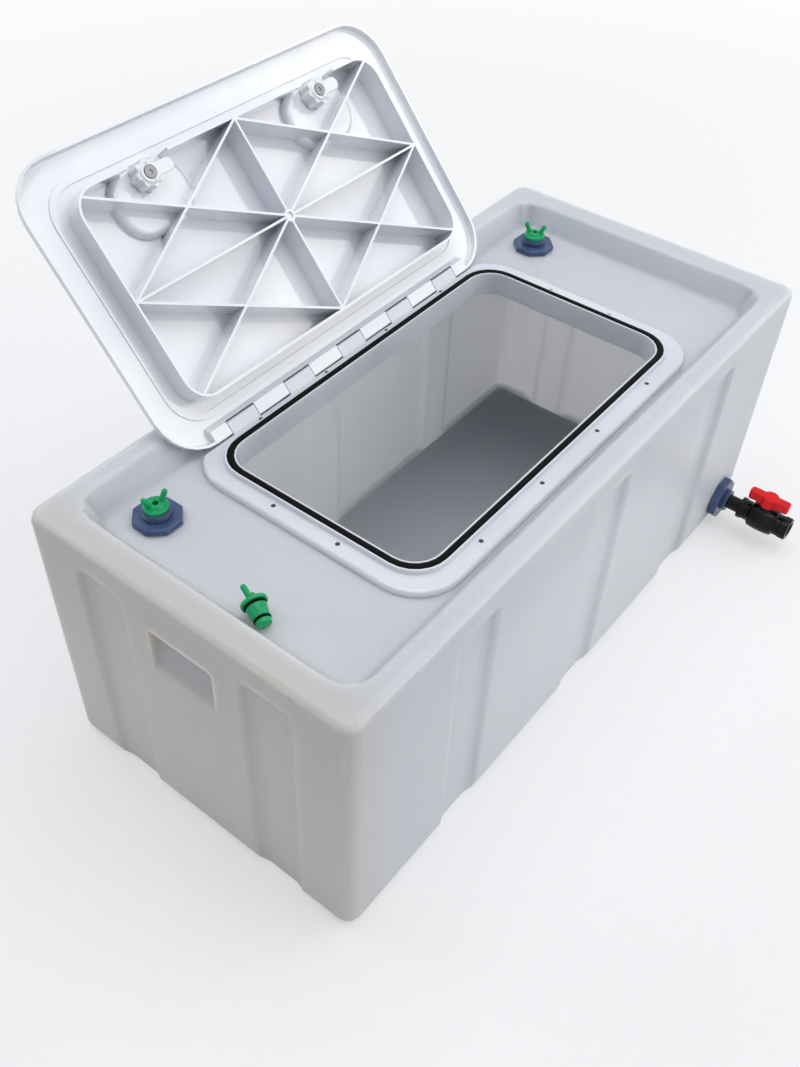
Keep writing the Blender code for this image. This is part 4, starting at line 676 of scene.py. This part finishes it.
# %% [markdown]
# ## Latch nuts and their screws
#
# Under the lid each latch ends in a knob-like nut with round lobes, a split collar on its face and a cam
# arm that swings below the deck. The body is turned on the lathe and the lobes and the arm are joined on,
# so that they grow out of it as in the moulding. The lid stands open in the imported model, so nut and
# screw are made where the closed lid would hold them and then turned back about the hinge, as the real
# ones are when it opens.

# %% One latch nut
LOBES = 8
LOBE_RADIUS = 0.0041
LOBE_REACH = 0.0136
NUT_RADIUS = 0.0147
NUT_TOP = 0.0092
NUT_FACE = -0.0106
COLLAR_FACE = -0.0120
CUT_FROM = -0.0130
ARM_REACH = 0.0180

nut = lathe("nut", [(0.0, NUT_FACE), (0.0084, NUT_FACE), (0.0087, COLLAR_FACE), (0.0114, COLLAR_FACE),
                    (0.0119, NUT_FACE), (0.0138, -0.0103), (NUT_RADIUS, -0.0094), (NUT_RADIUS, NUT_TOP),
                    (0.0, NUT_TOP)])
for number in range(LOBES):
    lobe = rounded(pin("lobe", LOBE_RADIUS, -0.0102, NUT_TOP - 0.0004, 20), 0.0009, 3)
    turn = turned(360.0 * number / LOBES, "Z")
    fitted(nut, placed(lobe, turn @ Matrix.Translation((LOBE_REACH, 0.0, 0.0))), "UNION")
arm = oval_block(ARM_REACH, 0.0080, 0.0079, -0.0105, -0.0055, 0.0012)
fitted(nut, placed(arm, Matrix.Translation((ARM_REACH, 0.0, 0.0))), "UNION")
fitted(nut, pin("bore", 0.0053, CUT_FROM, 0.0100), "DIFFERENCE")
fitted(nut, pin("recess", 0.0072, CUT_FROM, -0.0099), "DIFFERENCE")
shaded(fitted(nut, stock(0.0018, 0.030, CUT_FROM, -0.0107), "DIFFERENCE"))
print("latch nut", len(nut.data.polygons), "faces")

# %% Nuts and screws in the open lid
SCREW_CAP = 0.0069
SCREW_STEM = 0.0019

for word, place in LATCH_PLACES.items():
    body = f"latch_{word}_body"
    spot = LID_OPEN @ Matrix.Translation(place)
    screw = lathe("fine_latch_screw_" + word, [
        (0.0, -0.0119), (SCREW_CAP, -0.0119), (SCREW_CAP, -0.0101), (SCREW_STEM, -0.0101),
        (SCREW_STEM, -0.0011), (0.0, -0.0011)])
    fitted(screw, pin("socket", 0.0032, CUT_FROM, -0.0108, 6), "DIFFERENCE")
    handed_over(placed(rounded(screw, 0.00035), spot), body, "steel", DULL_FINISH, "latch_screw_" + word)
    handed_over(placed(twin(nut, "fine_latch_cam_" + word), spot), body, "lid_plastic", LATCH_FINISH,
                "latch_cam_" + word)
bpy.data.objects.remove(nut)

# %% [markdown]
# ## Threaded ports
#
# A port is a flanged tube that comes up through the deck, held by an octagonal nut. Three turns of its
# thread stand clear above the nut. The tube is turned on the lathe. The thread is a small triangle drawn
# along a helix by the Screw modifier, which gives its real slope; rings in the outline would only look
# like a thread from far away.

# %% A thread
THREAD_PITCH = 0.0020
THREAD_HALF = 0.0007


def thread(name, radius, low, turns):
    """A triangular ridge wound round Z; its ends are closed."""
    bpy.ops.object.select_all(action="DESELECT")
    bpy.ops.mesh.primitive_circle_add(vertices=3, radius=THREAD_HALF, location=(radius, 0.0, low),
                                      rotation=(math.pi / 2, math.pi / 2, 0.0), fill_type="NOTHING")
    ridge = placed(bpy.context.object, bpy.context.object.matrix_world.copy())
    ridge.name = name
    modified(ridge, "SCREW", screw_offset=THREAD_PITCH, iterations=turns, steps=32, render_steps=32)
    only(ridge)
    bpy.ops.object.mode_set(mode="EDIT")
    bpy.ops.mesh.select_mode(type="EDGE")
    bpy.ops.mesh.select_all(action="DESELECT")
    bpy.ops.mesh.select_non_manifold()
    bpy.ops.mesh.edge_face_add()
    bpy.ops.mesh.select_all(action="SELECT")
    bpy.ops.mesh.normals_make_consistent(inside=False)
    bpy.ops.object.mode_set(mode="OBJECT")
    return shaded(ridge)


# %% Port tubes
PORT_RADIUS = 0.016
PORT_RISE = 0.017
PORT_MOUTH = 0.0133
PORT_HOLE = 0.0100
PORT_FOOT = -0.0296
PORT_PLACES = {"left": (-0.372, 0.133, DECK), "right": (0.372, 0.133, DECK)}
FLANGE = 0.0250
FLANGE_TOP = -0.0076
FLANGE_FOOT = -0.0116

tube = rounded(lathe("tube", [
    (PORT_RADIUS, PORT_RISE), (PORT_RADIUS, FLANGE_TOP), (FLANGE, FLANGE_TOP), (FLANGE, FLANGE_FOOT),
    (0.0140, FLANGE_FOOT), (0.0130, PORT_FOOT), (PORT_HOLE, PORT_FOOT), (PORT_HOLE, -0.0090),
    (PORT_MOUTH, 0.0110), (PORT_MOUTH, PORT_RISE), (PORT_RADIUS, PORT_RISE)]), 0.0007, 3)
ridge = thread("ridge", PORT_RADIUS, 0.0094, 3)
for word, place in PORT_PLACES.items():
    spot = Matrix.Translation(place)
    handed_over(placed(twin(tube, "fine_port_" + word), spot), "tank_body", "navy_plastic",
                NAVY_FINISH, "port_" + word)
    handed_over(placed(twin(ridge, "port_thread_" + word), spot), "tank_body", "navy_plastic",
                NAVY_FINISH)
bpy.data.objects.remove(tube)
bpy.data.objects.remove(ridge)

# %% [markdown]
# ## Green plugs
#
# A plug is a tapered stopper with a flange, a low crown with a blind hole, and two round-ended wings to
# turn it by. Two rubber rings seal it. The stopper and the wings are turned on the lathe and joined by a
# Boolean, so that the wings grow out of the crown as in the moulding. The same plug serves three times:
# two sit in the ports and the third lies on the deck.

# %% Plug and rings
PLUG_FOOT = -0.0250
PLUG_TOP = 0.0070
PLUG_FLANGE = 0.0145
FLANGE_HEIGHT = 0.0040
UPPER_GROOVE = 0.0099
LOWER_GROOVE = 0.0072
WING_RADIUS = 0.0033
WING_LENGTH = 0.0175
WING_LEAN = 26.0
WING_ROOT = 0.0065
TIP_STEPS = 5
RING_WIRE = 0.00125
RING_SQUEEZE = 0.94


def wing(side):
    """A round-tipped bar leaning outward from the crown."""
    profile = [(0.0, -0.0020), (WING_RADIUS, -0.0020)]
    for step in range(TIP_STEPS + 1):
        turn = math.pi / 2 * step / TIP_STEPS
        reach = 0.0 if step == TIP_STEPS else WING_RADIUS * math.cos(turn)
        profile.append((reach, WING_LENGTH - WING_RADIUS + WING_RADIUS * math.sin(turn)))
    root = Matrix.Translation((side * WING_ROOT, 0.0, FLANGE_HEIGHT))
    return placed(lathe("wing", profile, 24), root @ turned(side * WING_LEAN, "Y"))


plug = lathe("plug", [
    (0.0, PLUG_FOOT), (0.0080, PLUG_FOOT), (0.0088, -0.0200), (LOWER_GROOVE, -0.0200),
    (LOWER_GROOVE, -0.0170), (0.0093, -0.0170), (0.0115, -0.0030), (UPPER_GROOVE, -0.0030),
    (UPPER_GROOVE, 0.0000), (PLUG_FLANGE, 0.0000), (PLUG_FLANGE, FLANGE_HEIGHT),
    (0.0100, FLANGE_HEIGHT), (0.0085, PLUG_TOP), (0.0, PLUG_TOP)])
bevelled(plug, 0.0006, 3)
for side in (-1, 1):
    fitted(plug, wing(side), "UNION")
shaded(fitted(plug, pin("hole", 0.0035, -0.0050, 0.0200, 32), "DIFFERENCE"))


def rubber_ring(radius, height):
    """A round strip bent to a ring, a little flatter where it is squeezed."""
    bpy.ops.object.select_all(action="DESELECT")
    bpy.ops.mesh.primitive_circle_add(vertices=14, radius=RING_WIRE, location=(radius, 0.0, height),
                                      rotation=(math.pi / 2, 0.0, 0.0), fill_type="NOTHING")
    ring = placed(bpy.context.object, bpy.context.object.matrix_world.copy())
    bpy.ops.object.mode_set(mode="EDIT")
    bpy.ops.mesh.select_all(action="SELECT")
    bpy.ops.transform.resize(value=(RING_SQUEEZE, 1.0, 1.0),
                             center_override=(radius - RING_WIRE, 0.0, height))
    bpy.ops.mesh.spin(steps=LATHE_STEPS, angle=2 * math.pi, center=(0.0, 0.0, 0.0), axis=(0.0, 0.0, 1.0))
    bpy.ops.mesh.select_all(action="SELECT")
    bpy.ops.mesh.remove_doubles(threshold=MERGE)
    bpy.ops.mesh.normals_make_consistent(inside=False)
    bpy.ops.object.mode_set(mode="OBJECT")
    bpy.ops.object.shade_smooth()
    return ring


rings = {"upper": rubber_ring(0.01145, -0.0015), "lower": rubber_ring(0.008745, -0.0185)}
print("plug", len(plug.data.polygons), "faces")

# %% Three plugs
SEAT = 0.0173
PLUG_TURNS = {"left": -14.0, "right": -73.0}
LOOSE_PLACE = (-0.404, -0.042, 0.36427)
LOOSE_TIP = 12.904
LOOSE_ROLL = 65.0
LOOSE_FACING = 156.7

plug_places = {}
for word, place in PORT_PLACES.items():
    seat = Matrix.Translation(Vector(place) + Vector((0.0, 0.0, SEAT)))
    plug_places[word] = seat @ turned(PLUG_TURNS[word], "Z")
lying = turned(90.0 - LOOSE_TIP, "X") @ turned(LOOSE_ROLL, "Z")
plug_places["loose"] = Matrix.Translation(LOOSE_PLACE) @ turned(LOOSE_FACING, "Z") @ lying

for word, place in plug_places.items():
    body = f"plug_{word}_body"
    handed_over(placed(twin(plug, "fine_plug_" + word), place), body, "green_plastic",
                GREEN_FINISH, "plug_" + word)
    for level, ring in rings.items():
        node = f"plug_ring_{level}_{word}"
        handed_over(placed(twin(ring, "fine_" + node), place), body, "seal_rubber", RUBBER_FINISH, node)
for master in (plug, *rings.values()):
    bpy.data.objects.remove(master)

# %% [markdown]
# ## Drain fitting and ball valve
#
# The drain fitting is the same kind as a port, laid on its side, with a black pipe glued into it. The
# pipe carries a small ball valve: a socket with a lip, a swelling waist round the ball, an end that
# unscrews, and a boss for the stem on top. All are turned on the lathe in a frame whose Z runs out of
# the front side, and then laid along the pipe. The boss is tipped upright before it is joined on, and
# a ring of small bars gives the end its grip.

# %% Drain fitting
PIPE_X = 0.410
PIPE_LEVEL = 0.042
TANK_FRONT = -0.225
VALVE_Y = -0.302
ALONG_PIPE = turned(90.0, "X")
DRAIN = Matrix.Translation((PIPE_X, TANK_FRONT, PIPE_LEVEL)) @ ALONG_PIPE
VALVE = Matrix.Translation((PIPE_X, VALVE_Y, PIPE_LEVEL)) @ ALONG_PIPE
PIPE = 0.0110
PIPE_HOLE = 0.0080
PIPE_FROM = 0.0080
PIPE_TO = 0.0510
SOCKET = 0.0165
SOCKET_HOLE = 0.0113
SOCKET_FLOOR = 0.0077
SOCKET_MOUTH = 0.0200

connector = rounded(lathe("fine_drain_connector", [
    (SOCKET, SOCKET_MOUTH), (SOCKET, FLANGE_TOP), (FLANGE, FLANGE_TOP), (FLANGE, FLANGE_FOOT),
    (PIPE_HOLE, FLANGE_FOOT), (PIPE_HOLE, SOCKET_FLOOR), (SOCKET_HOLE, SOCKET_FLOOR),
    (SOCKET_HOLE, SOCKET_MOUTH), (SOCKET, SOCKET_MOUTH)]), 0.0006, 3)
handed_over(placed(connector, DRAIN), "tank_body", "navy_plastic", NAVY_FINISH, "drain_connector")
drain_ridge = placed(thread("drain_thread", SOCKET, 0.0136, 2), DRAIN)
handed_over(drain_ridge, "tank_body", "navy_plastic", NAVY_FINISH)
pipe = rounded(lathe("fine_drain_pipe", [
    (PIPE_HOLE, PIPE_FROM), (PIPE, PIPE_FROM), (PIPE, PIPE_TO), (PIPE_HOLE, PIPE_TO),
    (PIPE_HOLE, PIPE_FROM)]), 0.0004)
handed_over(placed(pipe, DRAIN), "tank_body", "black_plastic", BLACK_FINISH, "drain_pipe")

# %% Valve body
WAIST_STEPS = 14
WAIST = 0.0175
WAIST_SWELL = 0.0040
WAIST_HALF = 0.0200
NECK = 0.0153
VALVE_REAR = -0.0380
BODY_END = 0.0280
CHAMBER = 0.0150
CHAMBER_FLOOR = -0.0145
STOP = -0.0257
SEAT_HOLE = 0.0085
BOSS = 0.0110
BOSS_TOP = 0.0260
STEM_HOLE = 0.0048
UP = turned(-90.0, "X")

profile = [(SOCKET, VALVE_REAR), (SOCKET, -0.0320), (NECK, -0.0310), (NECK, -0.0220)]
for step in range(WAIST_STEPS + 1):
    turn = math.pi * step / WAIST_STEPS
    swell = 0.0 if step in (0, WAIST_STEPS) else math.sin(turn) ** 0.6
    profile.append((WAIST + WAIST_SWELL * swell, -WAIST_HALF * math.cos(turn)))
profile += [(SOCKET, 0.0210), (SOCKET, BODY_END), (CHAMBER, BODY_END), (CHAMBER, CHAMBER_FLOOR),
            (SEAT_HOLE, CHAMBER_FLOOR), (SEAT_HOLE, -0.0180), (PIPE_HOLE, -0.0190), (PIPE_HOLE, STOP),
            (SOCKET_HOLE, STOP), (SOCKET_HOLE, VALVE_REAR), (SOCKET, VALVE_REAR)]
valve = rounded(lathe("fine_valve_body", profile), 0.0006, 3)
boss = lathe("boss", [(0.0, 0.0160), (BOSS, 0.0160), (BOSS, 0.0218), (0.0095, 0.0226),
                      (0.0095, BOSS_TOP), (0.0, BOSS_TOP)])
fitted(valve, placed(bevelled(boss, 0.0004, 2), UP), "UNION")
hole = lathe("hole", [(0.0, 0.0110), (STEM_HOLE, 0.0110), (STEM_HOLE, 0.0230), (0.0065, 0.0230),
                      (0.0065, 0.0300), (0.0, 0.0300)])
shaded(fitted(valve, placed(hole, UP), "DIFFERENCE"))
handed_over(placed(valve, VALVE), "tank_body", "black_plastic", BLACK_FINISH, "valve_body")

# %% Valve end that unscrews, with ribs to grip
UNION_RIBS = 20
UNION_FROM = 0.0283
UNION_TO = 0.0413
SPIGOT = 0.0147
SPIGOT_FOOT = 0.0148

union = rounded(lathe("fine_valve_union", [
    (SOCKET, UNION_TO), (SOCKET, UNION_FROM), (SPIGOT, UNION_FROM), (SPIGOT, SPIGOT_FOOT),
    (SEAT_HOLE, SPIGOT_FOOT), (SEAT_HOLE, 0.0300), (PIPE, 0.0310), (PIPE, UNION_TO),
    (SOCKET, UNION_TO)]), 0.0009, 3)
for number in range(UNION_RIBS):
    rib = rounded(pin("rib", 0.0007, 0.0300, 0.0396, 8), 0.0003)
    turn = turned(360.0 * number / UNION_RIBS, "Z")
    gathered(union, placed(rib, turn @ Matrix.Translation((SOCKET, 0.0, 0.0))))
handed_over(placed(union, VALVE), "tank_body", "black_plastic", BLACK_FINISH, "valve_union")

# %% [markdown]
# ## Red handle
#
# The handle is a thick bar across a round hub, moulded in one. The bar starts as a block: its upright
# edges are rounded first and then the rims, so that the corners come out ball-shaped as in a mould. The
# hub is turned and joined on, and a blind hole from below takes the stem.

# %% Handle
HANDLE_FOOT = 0.0683
HANDLE_LENGTH = 0.062
HANDLE_WIDTH = 0.0150
HUB = 0.0125
HUB_HEIGHT = 0.0170

handle = stock(HANDLE_WIDTH, HANDLE_LENGTH, 0.0019, 0.0165)
handle.name = "fine_valve_handle"
edges_rounded(handle, upright, 0.0048, 8)
bevelled(handle, 0.0020, 4)
fitted(handle, bevelled(pin("hub", HUB, 0.0, HUB_HEIGHT), 0.0016, 4), "UNION")
shaded(fitted(handle, pin("stem hole", STEM_HOLE, -0.0010, 0.0140), "DIFFERENCE"))
handed_over(placed(handle, Matrix.Translation((PIPE_X, VALVE_Y, HANDLE_FOOT))), "valve_handle_body",
            "red_plastic", RED_FINISH, "valve_handle")

# %% [markdown]
# ## Floor, lamps and background
#
# The picture is a studio one: a pale floor that keeps a soft shadow near the box and turns to white
# further out, one large lamp high on the right, one overhead, one behind and a weak warm one on the
# left. The lamps are big, so their reflections in the glossy lid are broad and soft. The background is
# white only to the camera and in reflections, which adds no light to the box.

# %% Floor
SEEN_BY = ("Is Camera Ray", "Is Glossy Ray", "Is Transmission Ray")
WHITE_NEAR = 0.45
WHITE_FROM = 0.9
WHITE_REACH = 1.9

bpy.ops.object.select_all(action="DESELECT")
bpy.ops.mesh.primitive_plane_add(size=14.0, location=(0.0, 0.0, 0.0))
floor = bpy.context.object
floor.name = "floor"
pale = Finish("pale_floor", (0.86, 0.86, 0.87), 0.85)
grain = pale.noise(40.0, 3.0)
pale.colour(pale.mix(grain, (0.84, 0.84, 0.85), (0.88, 0.88, 0.885)))
white = pale.node("ShaderNodeEmission", None, {"Color": (1.0, 1.0, 1.0, 1.0), "Strength": 1.0})
seen = [pale.node("ShaderNodeLightPath", output=ray) for ray in SEEN_BY]
lit = Wire(pale.tree, pale.shader.outputs[0])
away = pale.node("ShaderNodeVectorMath", {"operation": "LENGTH"}, {0: pale.spot}, "Value")
share = WHITE_NEAR + (1.0 - WHITE_NEAR) * away.above(WHITE_FROM, WHITE_REACH)
both = pale.node("ShaderNodeMixShader", None,
                 {0: (seen[0] + seen[1] + seen[2]) * share, 1: lit, 2: white})
pale.tree.links.new(both.socket, pale.tree.nodes["Material Output"].inputs["Surface"])
floor.data.materials.append(pale.material)
print("floor", tuple(floor.dimensions))

# %% World
world = bpy.data.worlds.new("studio")
bpy.context.scene.world = world
world.use_nodes = True
sky = world.node_tree
sky.nodes.clear()


def background(colour, strength):
    made = sky.nodes.new("ShaderNodeBackground")
    made.inputs["Color"].default_value = (*colour, 1.0)
    made.inputs["Strength"].default_value = strength
    return made


plain = background((0.88, 0.93, 1.0), 0.47)
bright = background((1.0, 1.0, 1.0), 1.0)
path = sky.nodes.new("ShaderNodeLightPath")
blend = sky.nodes.new("ShaderNodeMixShader")
out = sky.nodes.new("ShaderNodeOutputWorld")
rays = [Wire(sky, path.outputs[ray]) for ray in SEEN_BY]
sky.links.new((rays[0] + rays[1] + rays[2]).socket, blend.inputs[0])
sky.links.new(plain.outputs[0], blend.inputs[1])
sky.links.new(bright.outputs[0], blend.inputs[2])
sky.links.new(blend.outputs[0], out.inputs["Surface"])
print("world", world.name)


# %% Lamps
def soft_lamp(name, place, aim, width, height, power, colour):
    """A rectangular studio lamp turned to look at a point; power is in watts."""
    lamp = bpy.data.objects.new(name, bpy.data.lights.new(name, "AREA"))
    bpy.context.scene.collection.objects.link(lamp)
    lamp.data.shape = "RECTANGLE"
    lamp.data.size = width
    lamp.data.size_y = height
    lamp.data.energy = power
    lamp.data.color = colour
    lamp.location = place
    lamp.rotation_euler = (Vector(aim) - Vector(place)).to_track_quat("-Z", "Y").to_euler()
    return lamp


soft_lamp("key", (1.75, -2.3, 2.0), (0.0, 0.0, 0.3),
          width=3.6, height=2.6, power=45.0, colour=(1.0, 0.98, 0.95))
soft_lamp("top", (0.3, 0.0, 3.2), (0.0, 0.0, 0.3),
          width=2.4, height=2.4, power=37.0, colour=(0.97, 0.98, 1.0))
soft_lamp("fill", (-2.6, -1.4, 1.3), (0.0, 0.0, 0.2),
          width=2.0, height=1.6, power=1.5, colour=(1.0, 0.93, 0.84))
soft_lamp("back", (-0.6, 2.6, 2.4), (0.0, 0.0, 0.4),
          width=2.4, height=1.2, power=20.0, colour=(0.97, 0.98, 1.0))
print(len(bpy.data.lights), "lamps")

bpy.context.scene.view_settings.view_transform = "Standard"
